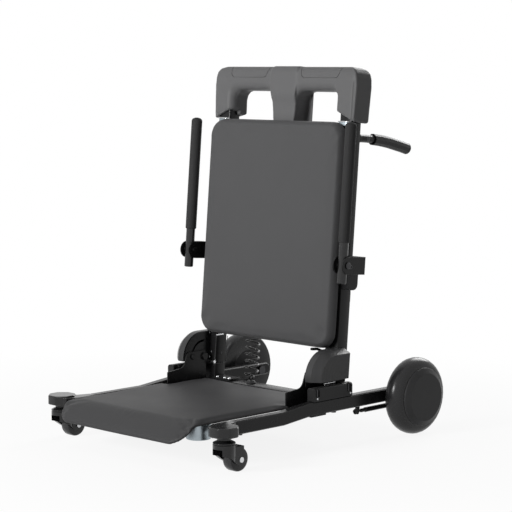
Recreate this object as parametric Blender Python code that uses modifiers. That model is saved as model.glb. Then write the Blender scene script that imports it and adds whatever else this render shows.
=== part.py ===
# Floor-level transfer chair: a seat plate that folds, a back with swinging armrests, and a
# carriage that rises on two leaning columns above a wheeled base.
# Metres, Z up. The chair faces -Y, and +X is the right of a viewer who stands in front of it.
from math import atan2, cos, pi, radians, sin, sqrt, tan

import bmesh
import bpy
from mathutils import Matrix, Vector

# Overall
GAP = 0.0003                 # between pieces that seat on each other
REAR_AXLE_Y = 0.3275
REAR_AXLE_Z = 0.100
BACK_LEAN = radians(4.8)     # lean of the back and of the lift
BACK_FOOT_Y = 0.1132         # where the middle plane of the uprights meets the floor

# Side rails, rectangular tube with a low kick
RAIL_X = 0.2565
RAIL_WIDTH = 0.024
RAIL_HEIGHT = 0.033
RAIL_WALL = 0.0025
RAIL_TOP = 0.1185
RAIL_DROP = 0.0097
RAIL_KICK_FRONT = -0.1095
RAIL_KICK_REAR = -0.0125
RAIL_FRONT = -0.2785
RAIL_TAIL = 0.038            # beyond the rear axle
RAIL_END_RADIUS = 0.016
RAIL_EDGE = 0.0025

# Cross beam
BEAM_TOP = 0.1085
BEAM_HEIGHT = 0.023
BEAM_DEPTH = 0.050
BEAM_WALL = 0.0025

# Lift masts inside the uprights, with the sockets that hold them on the beam
MAST_WIDTH = 0.026
MAST_DEPTH = 0.024
MAST_WALL = 0.003
MAST_TOP = 0.760
GLIDE_LENGTH = 0.030
GLIDE_CLEARANCE = 0.0004
SOCKET_FLANGE = 0.006
SOCKET_INSET = 0.0005        # inside the outline of the upright above it
FLANGE_REACH = 0.060         # inward from the socket
FLANGE_HALF_DEPTH = 0.022

# Lift rods, which hang from a plug in each upright into the mast
PLUG_BOTTOM = 0.775
PLUG_HEIGHT = 0.012
ROD_RADIUS = 0.006
ROD_BOTTOM = 0.280
PISTON_CLEARANCE = 0.0006
PISTON_LENGTH = 0.022

# Uprights of the carriage
UPRIGHT_X = 0.219
UPRIGHT_WIDTH = 0.040
UPRIGHT_DEPTH = 0.038
UPRIGHT_WALL = 0.003
UPRIGHT_BOTTOM = 0.152
UPRIGHT_EDGE = 0.003
CROWN_SEAT = 0.055           # length of upright inside each leg of the crown

# Cross members of the carriage
YOKE_BELOW_PAD_TOP = 0.094
YOKE_HEIGHT = 0.030
BAR_BOTTOM = 0.352
BAR_HEIGHT = 0.030
BAR_DEPTH = 0.018
BAR_REACH = 0.222

# Blocks on the rails, with a recess for a screw at each end of each side
BLOCK_TOP = 0.153
BLOCK_CORNER = 0.0075
BLOCK_FRONT = -0.0055
BLOCK_LENGTH = 0.145
SCALLOP_RADIUS = 0.0072
SCALLOP_FROM_END = 0.0140
SCALLOP_FLOOR = 0.131

# Casters
CASTER_X = 0.298
CASTER_Y = -0.3475
CASTER_TRAIL = 0.037
CASTER_WHEEL_RADIUS = 0.0295
CASTER_WHEEL_WIDTH = 0.030
HOOD_CLEARANCE = 0.0035
HEAD_RADIUS = 0.0275
HEAD_HEIGHT = 0.0175
NECK_RADIUS = 0.017
NECK_LENGTH = 0.008
PUCK_RADIUS = 0.034
PUCK_HEIGHT = 0.024
STEM_RADIUS = 0.006
HOOD_TOP = 2 * CASTER_WHEEL_RADIUS + HOOD_CLEARANCE
HEAD_TOP = HOOD_TOP + HEAD_HEIGHT
PUCK_BOTTOM = HEAD_TOP + NECK_LENGTH
PUCK_TOP = PUCK_BOTTOM + PUCK_HEIGHT
STEM_TOP = PUCK_BOTTOM + PUCK_HEIGHT / 2
CHEEK_THICKNESS = 0.0036
CHEEK_CLEARANCE = 0.0012
CASTER_BOLT_RADIUS = 0.004

# Rear wheels
WHEEL_RADIUS = 0.100
WHEEL_INNER_X = 0.2935
WHEEL_OUTER_X = 0.344
WHEEL_CROWN_X = 0.316
HUB_RADIUS = 0.050
CAP_RADIUS = 0.0765
CAP_FACE_RADIUS = 0.0625
CAP_THICKNESS = 0.012
AXLE_RADIUS = 0.008

# Struts under the rear of the rails
STRUT_Z = 0.0712
STRUT_FRONT_Y = 0.1655
STRUT_REAR_Y = 0.306
STRUT_EYE_RADIUS = 0.0075
STRUT_PIN_RADIUS = 0.0026
STRUT_ROD_RADIUS = 0.003
STRUT_SLEEVE_RADIUS = 0.0065

# Hinge plates, covers and the seat's fold
HINGE_Y = 0.0805
HINGE_Z = 0.1715
HINGE_PLATE_X = 0.2195       # inner face
HINGE_PLATE_THICKNESS = 0.003
HINGE_ARC = 0.0665
HINGE_PLATE_BOTTOM = 0.150
FLANGE_THICKNESS = 0.003
SLOT_RADIUS = 0.0421
PIN_RADIUS = 0.0026
PIN_START = radians(3.4)     # of the guide pin above the level, seen from the hinge
FOLD_RANGE = radians(88)
PIVOT_RADIUS = 0.006
PIVOT_HEAD_RADIUS = 0.0105
PIVOT_HEAD_INNER_X = 0.2095
PIVOT_NUT_RADIUS = 0.0095
PIVOT_NUT_THICKNESS = 0.006
COVER_FRONT_Y = 0.0095
COVER_TOP = 0.2385
COVER_BOTTOM = 0.1635
COVER_REAR_Y = 0.1345
COVER_BAND_X = 0.2426
COVER_FACE_X = 0.2645
COVER_TAPER = 0.855
COVER_WALL = 0.0025

# Seat
SEAT_TOP = 0.117
SEAT_PAD_THICKNESS = 0.0095
SEAT_PAN_THICKNESS = 0.004
SEAT_HALF_WIDTH = 0.232
SEAT_REAR_HALF_WIDTH = 0.2145
SEAT_NOTCH_Y = -0.0575
SEAT_REAR_Y = 0.0775
SEAT_BEND_Y = -0.3805
SEAT_BEND_RADIUS = 0.024     # inside the bend
SEAT_LIP_LENGTH = 0.06647
SEAT_LIP_ANGLE = radians(45)
SEAT_LIP_CORNER = 0.052
SEAT_PAN_INSET = 0.007
WING_X = 0.2150
WING_THICKNESS = 0.0032
WING_FRONT_Y = -0.0535
WING_REAR_Y = 0.0865
WING_TOP = 0.188
WING_FLANGE_WIDTH = 0.028
FOOT_X = 0.195
FOOT_Y = -0.3325
FOOT_RADIUS = 0.0305
FOOT_BOTTOM = 0.066

# Back
PAD_HALF_WIDTH = 0.237
PAD_BOTTOM = 0.2375
PAD_TOP = 0.809
PAD_FRONT = -0.0510
PAD_REAR = -0.0273
PAD_CORNER = 0.030
PAD_EDGE = 0.009
BOARD_INSET = 0.011
BOARD_THICKNESS = 0.0077

# Crown
CROWN_HALF_WIDTH = 0.2545
CROWN_LEG_HALF_WIDTH = 0.2500
CROWN_BOTTOM = 0.8100
CROWN_TOP = 0.9515
CROWN_DEPTH = 0.0625
CROWN_OFFSET = 0.00445       # of its middle plane, behind that of the uprights
CROWN_ROLL = 0.030
CROWN_TRIM = 0.0015          # of the outline's top that the rolled section cuts off
CROWN_FLARE = 0.020          # of the rolled section at the foot of the pad, clear of the crown's faces
CROWN_EDGE = 0.006
HOLE_TOP = 0.890
HOLE_OUTER_X = 0.1885
HOLE_CORNER = 0.026
PILLAR_FOOT_X = 0.0365
PILLAR_HEAD_X = 0.0460
PILLAR_SET_BACK = 0.0080
PILLAR_FLANGE_X = 0.0550
PILLAR_FLANGE = 0.0029
PILLAR_FLANGE_INSET = 0.0021
GRIP_SKIN = 0.004
GRIP_INNER_X = 0.060
GRIP_OUTER_X = 0.196
GRIP_BOTTOM = 0.923
GRIP_SLOPE = 0.017

# Push handles
HANDLE_X = 0.220
HANDLE_RADIUS = 0.0105
HANDLE_FLANGE_RADIUS = 0.0175
HANDLE_GRIP_RADIUS = 0.0150
HANDLE_HEIGHT = 0.773

# Armrests
ARM_X = 0.2784
ARM_OFFSET = -0.0640         # of the arm's axis from the middle plane of the uprights
ARM_PIVOT_HEIGHT = 0.4525
ARM_TUBE_RADIUS = 0.012
ARM_TUBE_WALL = 0.002
ARM_TAIL = 0.047
ARM_GRIP_RADIUS = 0.0145
ARM_GRIP_BOTTOM = 0.509
ARM_GRIP_TOP = 0.810
ARM_BOLT_RADIUS = 0.005
EAR_RADIUS = 0.0225
EAR_THICKNESS = 0.0036
EAR_GAP = 0.0275
MOUNT_BOTTOM = 0.388
MOUNT_TOP = 0.474

# Seat release lever, on the right
LEVER_X = 0.207
LEVER_WIDTH = 0.008
LEVER_PIVOT_OFFSET = -0.0315
LEVER_PIVOT_HEIGHT = 0.2235
LEVER_REACH = 0.052
LEVER_THICKNESS = 0.0065

# Power box and curly cord
BOX_HALF_WIDTH = 0.138
BOX_BOTTOM = 0.330
BOX_BELOW_PAD_TOP = 0.209
CORD_X = -0.082
CORD_OFFSET = 0.002
CORD_COIL_RADIUS = 0.0200
CORD_BASE_HEIGHT = 0.119
GLAND_RADIUS = 0.014
GLAND_HEIGHT = 0.014

PARTS = bpy.data.collections.new("transfer_chair")
CUTTERS = bpy.data.collections.new("cutters")


def clear_scene():
    for obj in list(bpy.data.objects):
        bpy.data.objects.remove(obj, do_unlink=True)
    for group in (PARTS, CUTTERS):
        bpy.context.scene.collection.children.link(group)


def material(name, colour, roughness, metallic):
    made = bpy.data.materials.new(name)
    made.use_nodes = True
    shader = made.node_tree.nodes["Principled BSDF"]
    shader.inputs["Base Color"].default_value = (*colour, 1)
    shader.inputs["Roughness"].default_value = roughness
    shader.inputs["Metallic"].default_value = metallic
    return made


FINISHES = {
    "frame_black": ((0.022, 0.022, 0.023), 0.45, 0.3),
    "moulded_black": ((0.045, 0.045, 0.046), 0.55, 0.0),
    "soft_grip": ((0.020, 0.020, 0.021), 0.80, 0.0),
    "tyre_black": ((0.040, 0.040, 0.041), 0.60, 0.0),
    "upholstery": ((0.075, 0.075, 0.077), 0.65, 0.0),
    "bright_steel": ((0.62, 0.63, 0.64), 0.25, 1.0),
    "zinc": ((0.42, 0.45, 0.47), 0.35, 1.0),
    "cord_black": ((0.020, 0.020, 0.020), 0.50, 0.0),
}
MATERIALS = {name: material(name, *finish) for name, finish in FINISHES.items()}


# Frames that pieces are modelled in
def back_frame():
    """An empty whose Z axis runs up the leaning back."""
    frame = bpy.data.objects.new("back_frame", None)
    frame.location = (0, BACK_FOOT_Y, 0)
    frame.rotation_euler = (-BACK_LEAN, 0, 0)
    PARTS.objects.link(frame)
    return frame


def lean_point(offset, height):
    """World Y and Z of a point in the back's frame."""
    y = BACK_FOOT_Y + offset * cos(BACK_LEAN) + height * sin(BACK_LEAN)
    return y, height * cos(BACK_LEAN) - offset * sin(BACK_LEAN)


# Turns of a flat outline: its plane becomes the side, front or plan view
SIDE = Matrix(((0, 0, 1), (1, 0, 0), (0, 1, 0))).to_4x4()
FRONT = Matrix(((1, 0, 0), (0, 0, -1), (0, 1, 0))).to_4x4()
PLAN = Matrix.Identity(4)
ALONG_X = Matrix(((0, 0, 1), (0, 1, 0), (-1, 0, 0))).to_4x4()
ALONG_Y = Matrix(((1, 0, 0), (0, 0, 1), (0, -1, 0))).to_4x4()


def close_mesh(mesh, turn):
    """Welds loose caps, turns the mesh to its place and points its faces out."""
    work = bmesh.new()
    work.from_mesh(mesh)
    bmesh.ops.remove_doubles(work, verts=work.verts, dist=0.000002)
    bmesh.ops.transform(work, matrix=turn, verts=work.verts)
    bmesh.ops.recalc_face_normals(work, faces=work.faces)
    work.to_mesh(mesh)
    work.free()


def evaluated_mesh(obj):
    graph = bpy.context.evaluated_depsgraph_get()
    return bpy.data.meshes.new_from_object(obj.evaluated_get(graph))


def solid_of(source, name, finish, turn):
    """A mesh object made from a curve or from an object with modifiers, which is removed."""
    mesh = evaluated_mesh(source)
    bpy.data.objects.remove(source, do_unlink=True)
    close_mesh(mesh, turn)
    mesh.name = name
    return mesh_object(mesh, name, finish)


def mesh_object(mesh, name, finish):
    obj = bpy.data.objects.new(name, mesh)
    mesh.materials.clear()
    mesh.materials.append(MATERIALS[finish])
    mesh.shade_smooth()
    mesh.set_sharp_from_angle(angle=radians(35))
    PARTS.objects.link(obj)
    return obj


def prism(name, outlines, low, high, view, finish="frame_black", edge=0.0, edge_steps=1):
    """A flat outline, with any holes, given thickness from low to high across its view."""
    curve = bpy.data.curves.new(name, "CURVE")
    curve.dimensions = "2D"
    curve.fill_mode = "BOTH"
    curve.extrude = (high - low) / 2 - edge
    curve.bevel_depth = edge
    curve.bevel_resolution = edge_steps - 1
    curve.offset = -edge
    if isinstance(outlines[0][0], float):
        outlines = [outlines]
    for outline in outlines:
        spline = curve.splines.new("POLY")
        spline.points.add(len(outline) - 1)
        for point, (u, v) in zip(spline.points, outline):
            point.co = (u, v, 0, 1)
        spline.use_cyclic_u = True
    source = bpy.data.objects.new(name, curve)
    PARTS.objects.link(source)
    bpy.context.view_layer.update()
    middle = (low + high) / 2 * (-1 if view is FRONT else 1)
    return solid_of(source, name, finish, view @ Matrix.Translation((0, 0, middle)))


def box(name, low, high, finish="frame_black"):
    """A box between two corners."""
    bpy.ops.mesh.primitive_cube_add(size=1)
    obj = bpy.context.object
    obj.name = name
    size = Vector(high) - Vector(low)
    centre = (Vector(high) + Vector(low)) / 2
    obj.data.transform(Matrix.Translation(centre) @ Matrix.Diagonal((*size, 1)))
    for group in obj.users_collection:
        group.objects.unlink(obj)
    PARTS.objects.link(obj)
    obj.data.name = name
    obj.data.materials.append(MATERIALS[finish])
    return obj


def turned(name, profile, turn=PLAN, finish="frame_black", steps=32, closed=False):
    """A profile of (radius, height) points, from the top down its outer side, turned round Z."""
    mesh = bpy.data.meshes.new(name)
    edges = [(i, i + 1) for i in range(len(profile) - 1)]
    if closed:
        edges.append((len(profile) - 1, 0))
    mesh.from_pydata([(radius, 0, height) for radius, height in profile], edges, [])
    source = bpy.data.objects.new(name, mesh)
    PARTS.objects.link(source)
    screw = source.modifiers.new("turn", "SCREW")
    screw.steps = steps
    screw.render_steps = steps
    screw.use_merge_vertices = True
    screw.merge_threshold = 0.00001
    bpy.context.view_layer.update()
    return solid_of(source, name, finish, turn)


def wire(name, points, radius, finish="frame_black", resolution=3):
    """A round bar along a line of points."""
    curve = bpy.data.curves.new(name, "CURVE")
    curve.dimensions = "3D"
    curve.bevel_depth = radius
    curve.bevel_resolution = resolution
    curve.use_fill_caps = True
    spline = curve.splines.new("POLY")
    spline.points.add(len(points) - 1)
    for point, place in zip(spline.points, points):
        point.co = (*place, 1)
    source = bpy.data.objects.new(name, curve)
    PARTS.objects.link(source)
    bpy.context.view_layer.update()
    return solid_of(source, name, finish, PLAN)


def boolean(obj, tool, operation):
    """Cuts obj by a tool, joins the tool to it, or keeps what both share."""
    step = obj.modifiers.new(tool.name, "BOOLEAN")
    step.operation = operation
    step.solver = "EXACT"
    step.object = tool
    for group in tool.users_collection:
        group.objects.unlink(tool)
    CUTTERS.objects.link(tool)
    tool.hide_render = True
    tool.display_type = "WIRE"
    return obj


def cut(obj, *tools):
    for tool in tools:
        boolean(obj, tool, "DIFFERENCE")
    return obj


def join(obj, *tools):
    for tool in tools:
        boolean(obj, tool, "UNION")
    return obj


def soften(obj, width, segments=2, angle=40):
    bevel = obj.modifiers.new("edges", "BEVEL")
    bevel.width = width
    bevel.segments = segments
    bevel.limit_method = "ANGLE"
    bevel.angle_limit = radians(angle)
    return obj


def carry(frame, *objects):
    """Places objects, and the tools of their cuts, in a frame."""
    for obj in objects:
        obj.parent = frame
        for step in obj.modifiers:
            if step.type == "BOOLEAN" and step.object.parent is None:
                carry(frame, step.object)


def turn_about(obj, point):
    """Moves an object's origin to a point on its joint's axis, with its shape where it was."""
    obj.data.transform(Matrix.Translation(-Vector(point)))
    obj.location = point


def left_of(right, name):
    """The left-hand piece of a pair, mirrored from the right-hand one."""
    bpy.context.view_layer.update()
    mesh = evaluated_mesh(right)
    mesh.name = name
    mesh.transform(Matrix.Diagonal((-1, 1, 1, 1)))
    mesh.flip_normals()
    obj = bpy.data.objects.new(name, mesh)
    PARTS.objects.link(obj)
    obj.parent = right.parent
    obj.location = (-right.location.x, right.location.y, right.location.z)
    return obj


def pair(right):
    """Adds the left-hand twin of a piece whose name ends in _right."""
    return right, left_of(right, right.name.replace("_right", "_left"))


# Outlines
def arc(centre, radius, start, end, steps):
    """Points of an arc, angles in degrees from the first axis of the view."""
    angles = [radians(start + (end - start) * i / steps) for i in range(steps + 1)]
    return [(centre[0] + radius * cos(a), centre[1] + radius * sin(a)) for a in angles]


def rounded(corners, steps=4):
    """An outline from (u, v, radius) corners, with an arc at each corner that has a radius."""
    points = []
    for i, (u, v, radius) in enumerate(corners):
        here = Vector((u, v))
        if radius == 0:
            points.append((u, v))
            continue
        before = (Vector(corners[i - 1][:2]) - here).normalized()
        after = (Vector(corners[(i + 1) % len(corners)][:2]) - here).normalized()
        half = before.angle(after) / 2
        centre = here + (before + after).normalized() * radius / sin(half)
        first = here + before * radius / tan(half) - centre
        last = here + after * radius / tan(half) - centre
        start = atan2(first.y, first.x)
        sweep = (atan2(last.y, last.x) - start + pi) % (2 * pi) - pi
        for k in range(steps + 1):
            a = start + sweep * k / steps
            points.append((centre.x + radius * cos(a), centre.y + radius * sin(a)))
    return points


def slab(u0, v0, u1, v1, radius=0.0):
    """Corners of a rectangle for rounded()."""
    return [(u0, v0, radius), (u1, v0, radius), (u1, v1, radius), (u0, v1, radius)]


def hole(name, centre, radius, low, high, turn=ALONG_X, steps=24):
    """A round cutter along X, or as turned, from low to high."""
    cutter = turned(name, [(0, high), (radius, high), (radius, low), (0, low)], turn, steps=steps)
    cutter.data.transform(Matrix.Translation(centre))
    return cutter


# Base
def rail_outline(inset, rear):
    """Side view of the rail, drawn in by the wall thickness for its inside."""
    top = RAIL_TOP - inset
    bottom = RAIL_TOP - RAIL_HEIGHT + inset
    end = RAIL_END_RADIUS if inset == 0 else 0.0
    bend = 0.06
    return rounded([
        (rear, bottom, end), (rear, top, end),
        (RAIL_KICK_REAR, top, bend), (RAIL_KICK_FRONT, top - RAIL_DROP, bend),
        (RAIL_FRONT - (0.01 if inset else 0), top - RAIL_DROP, 0),
        (RAIL_FRONT - (0.01 if inset else 0), bottom - RAIL_DROP, 0),
        (RAIL_KICK_FRONT, bottom - RAIL_DROP, bend), (RAIL_KICK_REAR, bottom, bend),
    ], steps=3)


def strut_lug(y):
    """A plate and pin below the rail that an eye of the strut turns on."""
    plate_x = RAIL_X + 0.0035
    top = RAIL_TOP - RAIL_HEIGHT + 0.0015
    plate = prism("lug_plate", rounded([
        (y - 0.007, top, 0), (y - 0.007, STRUT_Z, 0.005), (y - 0.003, STRUT_Z - 0.006, 0.002),
        (y + 0.003, STRUT_Z - 0.006, 0.002), (y + 0.007, STRUT_Z, 0.005), (y + 0.007, top, 0),
    ], steps=2), plate_x, plate_x + 0.003, SIDE)
    pin = turned("lug_pin", [
        (0, 0.001), (STRUT_PIN_RADIUS, 0.001), (STRUT_PIN_RADIUS, -0.0085),
        (STRUT_PIN_RADIUS + 0.0016, -0.0085), (STRUT_PIN_RADIUS + 0.0016, -0.0105), (0, -0.0105),
    ], ALONG_X, steps=10)
    pin.data.transform(Matrix.Translation((plate_x, y, STRUT_Z)))
    return plate, pin


def build_rail():
    half = RAIL_WIDTH / 2
    rear = REAR_AXLE_Y + RAIL_TAIL
    rail = prism("side_rail_right", rail_outline(0, rear), RAIL_X - half, RAIL_X + half, SIDE,
                 edge=RAIL_EDGE)
    inside = prism("rail_inside", rail_outline(RAIL_WALL, REAR_AXLE_Y - 0.03),
                   RAIL_X - half + RAIL_WALL, RAIL_X + half - RAIL_WALL, SIDE)
    bore = hole("rail_axle_bore", (0, REAR_AXLE_Y, REAR_AXLE_Z), AXLE_RADIUS + GAP,
                RAIL_X - half - 0.01, RAIL_X + half + 0.01)
    join(rail, *strut_lug(STRUT_FRONT_Y), *strut_lug(STRUT_REAR_Y))
    bottom = RAIL_TOP - RAIL_HEIGHT
    shoe = prism("rail_shoe", rounded(slab(-0.0145, bottom - 0.0038, 0.0405, bottom + 0.0012, 0.001), 1),
                 RAIL_X - 0.0105, RAIL_X + 0.0105, SIDE)
    heads = []
    for y, low, high, radius in ((0.0795, bottom - 0.004, bottom + 0.001, 0.0075),
                                 (-0.2535, bottom - RAIL_DROP - 0.004, bottom - RAIL_DROP + 0.001, 0.006)):
        heads.append(hole("rail_bolt_head", (RAIL_X, y, 0), radius, low, high, PLAN, 6))
    join(rail, shoe, *heads)
    cut(rail, inside, bore)
    return pair(rail)


def build_beam():
    """Cross beam, a tube between the rails."""
    half = RAIL_X - RAIL_WIDTH / 2 - GAP
    middle, low = beam_middle(), BEAM_TOP - BEAM_HEIGHT
    beam = prism("cross_beam", rounded(slab(
        middle - BEAM_DEPTH / 2, low, middle + BEAM_DEPTH / 2, BEAM_TOP, 0.004), 2), -half, half, SIDE)
    inside = prism("beam_inside", slab_points(
        middle - BEAM_DEPTH / 2 + BEAM_WALL, low + BEAM_WALL, middle + BEAM_DEPTH / 2 - BEAM_WALL,
        BEAM_TOP - BEAM_WALL), -half - 0.01, half + 0.01, SIDE)
    return cut(beam, inside)


def beam_middle():
    return lean_point(0, BEAM_TOP)[0]


def build_rail_block():
    half = RAIL_WIDTH / 2
    outline = rounded([
        (RAIL_X - half, RAIL_TOP + GAP, 0), (RAIL_X + half, RAIL_TOP + GAP, 0),
        (RAIL_X + half, BLOCK_TOP, BLOCK_CORNER), (RAIL_X - half, BLOCK_TOP, BLOCK_CORNER)], 5)
    rear = BLOCK_FRONT + BLOCK_LENGTH
    block = prism("rail_block_right", outline, BLOCK_FRONT, rear, FRONT,
                  finish="moulded_black", edge=0.0015)
    scallops = []
    for x in (RAIL_X - half, RAIL_X + half):
        for y in (BLOCK_FRONT + SCALLOP_FROM_END, rear - SCALLOP_FROM_END):
            scallops.append(hole("scallop", (x, y, 0), SCALLOP_RADIUS, SCALLOP_FLOOR,
                                 BLOCK_TOP + 0.01, PLAN, 16))
    cut(block, *scallops)
    return pair(block)


def build_caster_socket():
    octagon = [(CASTER_X + PUCK_RADIUS / cos(pi / 8) * cos(pi / 8 + k * pi / 4),
                CASTER_Y + PUCK_RADIUS / cos(pi / 8) * sin(pi / 8 + k * pi / 4), 0.009) for k in range(8)]
    socket = prism("caster_socket_right", rounded(octagon, 2), PUCK_BOTTOM, PUCK_TOP, PLAN, edge=0.002)
    front = RAIL_FRONT - GAP
    low_x, high_x = RAIL_X - RAIL_WIDTH / 2, RAIL_X + RAIL_WIDTH / 2
    top = RAIL_TOP - RAIL_DROP
    arm = prism("socket_arm", rounded([
        (low_x, front, 0), (high_x, front, 0), (0.2795, -0.3105, 0.008), (0.306, -0.330, 0),
        (0.282, -0.372, 0), (0.262, -0.3655, 0.012), (low_x, -0.338, 0.012)], 3),
        PUCK_BOTTOM - 0.0035, top, PLAN, edge=0.0015)
    spigot_low = top - RAIL_HEIGHT + RAIL_WALL + 0.008
    spigot = box("socket_spigot", (low_x + RAIL_WALL + GAP, front - 0.004, spigot_low),
                 (high_x - RAIL_WALL - GAP, front + 0.036, top - RAIL_WALL - GAP))
    neck = turned("socket_neck", [(0, PUCK_BOTTOM + 0.004), (NECK_RADIUS, PUCK_BOTTOM + 0.004),
                                  (NECK_RADIUS, HEAD_TOP + GAP), (0, HEAD_TOP + GAP)], steps=24)
    neck.data.transform(Matrix.Translation((CASTER_X, CASTER_Y, 0)))
    bore = hole("kingpin_bore", (CASTER_X, CASTER_Y, 0), STEM_RADIUS + GAP, HEAD_TOP - 0.01,
                STEM_TOP + GAP, PLAN, 16)
    join(socket, arm, spigot, neck)
    cut(socket, bore)
    return pair(socket)


def build_fork():
    """Swivel head with two race rings, over a hood that runs down to the wheel's axle."""
    wheel_y = CASTER_Y + CASTER_TRAIL
    inner = CASTER_WHEEL_WIDTH / 2 + CHEEK_CLEARANCE
    outer = inner + CHEEK_THICKNESS
    rim = HEAD_RADIUS
    head = turned("caster_fork_right", [
        (0, STEM_TOP), (STEM_RADIUS, STEM_TOP), (STEM_RADIUS, HEAD_TOP), (NECK_RADIUS - 0.002, HEAD_TOP),
        (rim - 0.004, HEAD_TOP - 0.0035), (rim - 0.0005, HEAD_TOP - 0.0055), (rim, HEAD_TOP - 0.0075),
        (rim - 0.0015, HEAD_TOP - 0.0085), (rim - 0.0015, HEAD_TOP - 0.0095), (rim, HEAD_TOP - 0.0105),
        (rim, HOOD_TOP - 0.001), (0, HOOD_TOP - 0.001)], steps=24)
    head.data.transform(Matrix.Translation((CASTER_X, CASTER_Y, 0)))
    start = sqrt(rim ** 2 - outer ** 2)
    turn = atan2(start, outer) * 180 / pi
    plan = arc((CASTER_X, CASTER_Y), rim, 180 - turn, 360 + turn, 15)
    plan += [(CASTER_X + outer, wheel_y + 0.010), (CASTER_X - outer, wheel_y + 0.010)]
    hood = prism("caster_hood", plan, CASTER_WHEEL_RADIUS - 0.0195, HOOD_TOP, PLAN)
    front, axle = CASTER_Y - rim - 0.002, CASTER_WHEEL_RADIUS
    side = rounded([
        (front, HOOD_TOP + 0.002, 0), (front, axle + 0.0175, 0), (CASTER_Y - 0.004, axle + 0.010, 0),
        (wheel_y - 0.014, axle - 0.010, 0), (wheel_y, axle - 0.016, 0.008),
        (wheel_y + 0.0105, axle - 0.010, 0.007), (wheel_y + 0.0095, axle + 0.0185, 0),
        (wheel_y + 0.0095, HOOD_TOP + 0.002, 0)], 3)
    boolean(hood, prism("hood_side", side, CASTER_X - 0.04, CASTER_X + 0.04, SIDE), "INTERSECT")
    tunnel = prism("wheel_tunnel", slab_points(wheel_y - 0.075, 0.0, wheel_y + 0.03,
                                                  HOOD_TOP - HOOD_CLEARANCE + 0.0011),
                   CASTER_X - inner, CASTER_X + inner, SIDE)
    bolt = hole("fork_bolt_bore", (0, wheel_y, CASTER_WHEEL_RADIUS), CASTER_BOLT_RADIUS + GAP,
                CASTER_X - 0.04, CASTER_X + 0.04, steps=16)
    cut(hood, tunnel, bolt)
    join(head, hood)
    turn_about(head, (CASTER_X, CASTER_Y, 0))
    return pair(head)


def slab_points(u0, v0, u1, v1):
    return [(u0, v0), (u1, v0), (u1, v1), (u0, v1)]


def build_caster_wheel():
    wheel_y = CASTER_Y + CASTER_TRAIL
    half, radius = CASTER_WHEEL_WIDTH / 2, CASTER_WHEEL_RADIUS
    bore = CASTER_BOLT_RADIUS + GAP
    shoulder = [(radius - 0.005 + 0.005 * sin(a), half - 0.005 + 0.005 * cos(a))
                for a in (0, pi / 4, pi / 2)]
    profile = [(bore, half + 0.0008), (0.0085, half + 0.0008), (0.0095, half)] + shoulder
    profile += [(r, -h) for r, h in reversed(profile)]
    wheel = turned("caster_wheel_right", profile, ALONG_X, "tyre_black", steps=28, closed=True)
    wheel.location = (CASTER_X, wheel_y, CASTER_WHEEL_RADIUS)
    outer = half + CHEEK_CLEARANCE + CHEEK_THICKNESS + GAP
    shank = CASTER_BOLT_RADIUS
    bolt = turned("caster_bolt_right", [
        (0, outer + 0.0032), (0.0045, outer + 0.0032), (0.0066, outer + 0.0024), (0.0072, outer + 0.001),
        (0.0072, outer), (shank, outer), (shank, -outer), (0.0065, -outer), (0.0065, -outer - 0.004),
        (0, -outer - 0.004)], ALONG_X, "bright_steel", steps=16)
    bolt.location = wheel.location
    return (*pair(wheel), *pair(bolt))


def build_rear_wheel():
    """Tyre of one rounded moulding, with a disc hub that shows a stepped flat face."""
    inner, outer = WHEEL_INNER_X - WHEEL_CROWN_X, WHEEL_OUTER_X - WHEEL_CROWN_X
    rise = WHEEL_RADIUS - CAP_RADIUS
    shape = [(HUB_RADIUS + GAP, inner + 0.004), (0.062, inner + 0.001), (0.078, inner)]
    shape += [(0.088 + 0.012 * sin(a), inner * cos(a)) for a in (pi / 8, pi / 4, 3 * pi / 8)]
    shape += [(CAP_RADIUS + rise * cos(a), outer * sin(a)) for a in [k * pi / 10 for k in range(6)]]
    shape += [(HUB_RADIUS + GAP, outer)]
    tyre = turned("rear_tyre_right", shape, ALONG_X, "tyre_black", steps=40, closed=True)
    tyre.location = (WHEEL_CROWN_X, REAR_AXLE_Y, REAR_AXLE_Z)
    bore = AXLE_RADIUS + GAP
    face = outer + GAP
    hub = turned("rear_hub_right", [
        (0, face + CAP_THICKNESS), (CAP_FACE_RADIUS - 0.001, face + CAP_THICKNESS),
        (CAP_FACE_RADIUS, face + CAP_THICKNESS - 0.0005), (CAP_RADIUS - 0.0015, face + 0.0035),
        (CAP_RADIUS, face + 0.0005), (CAP_RADIUS, face), (HUB_RADIUS, face), (HUB_RADIUS, inner + 0.004),
        (0.020, inner + 0.004), (0.018, inner), (bore, inner), (bore, face + 0.004), (0, face + 0.004)],
        ALONG_X, "moulded_black", steps=36)
    hub.location = tyre.location
    half = RAIL_WIDTH / 2
    inside = RAIL_X - half - GAP
    outside = RAIL_X + half + GAP
    axle = turned("rear_axle_right", [
        (0, WHEEL_OUTER_X + 0.0035), (AXLE_RADIUS, WHEEL_OUTER_X + 0.0035),
        (AXLE_RADIUS, WHEEL_INNER_X - GAP), (0.014, WHEEL_INNER_X - GAP), (0.014, outside),
        (AXLE_RADIUS, outside), (AXLE_RADIUS, inside), (0.012, inside), (0.012, inside - 0.007),
        (0, inside - 0.007)], ALONG_X, "bright_steel", steps=16)
    axle.location = (0, REAR_AXLE_Y, REAR_AXLE_Z)
    return (*pair(tyre), *pair(hub), *pair(axle))


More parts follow.
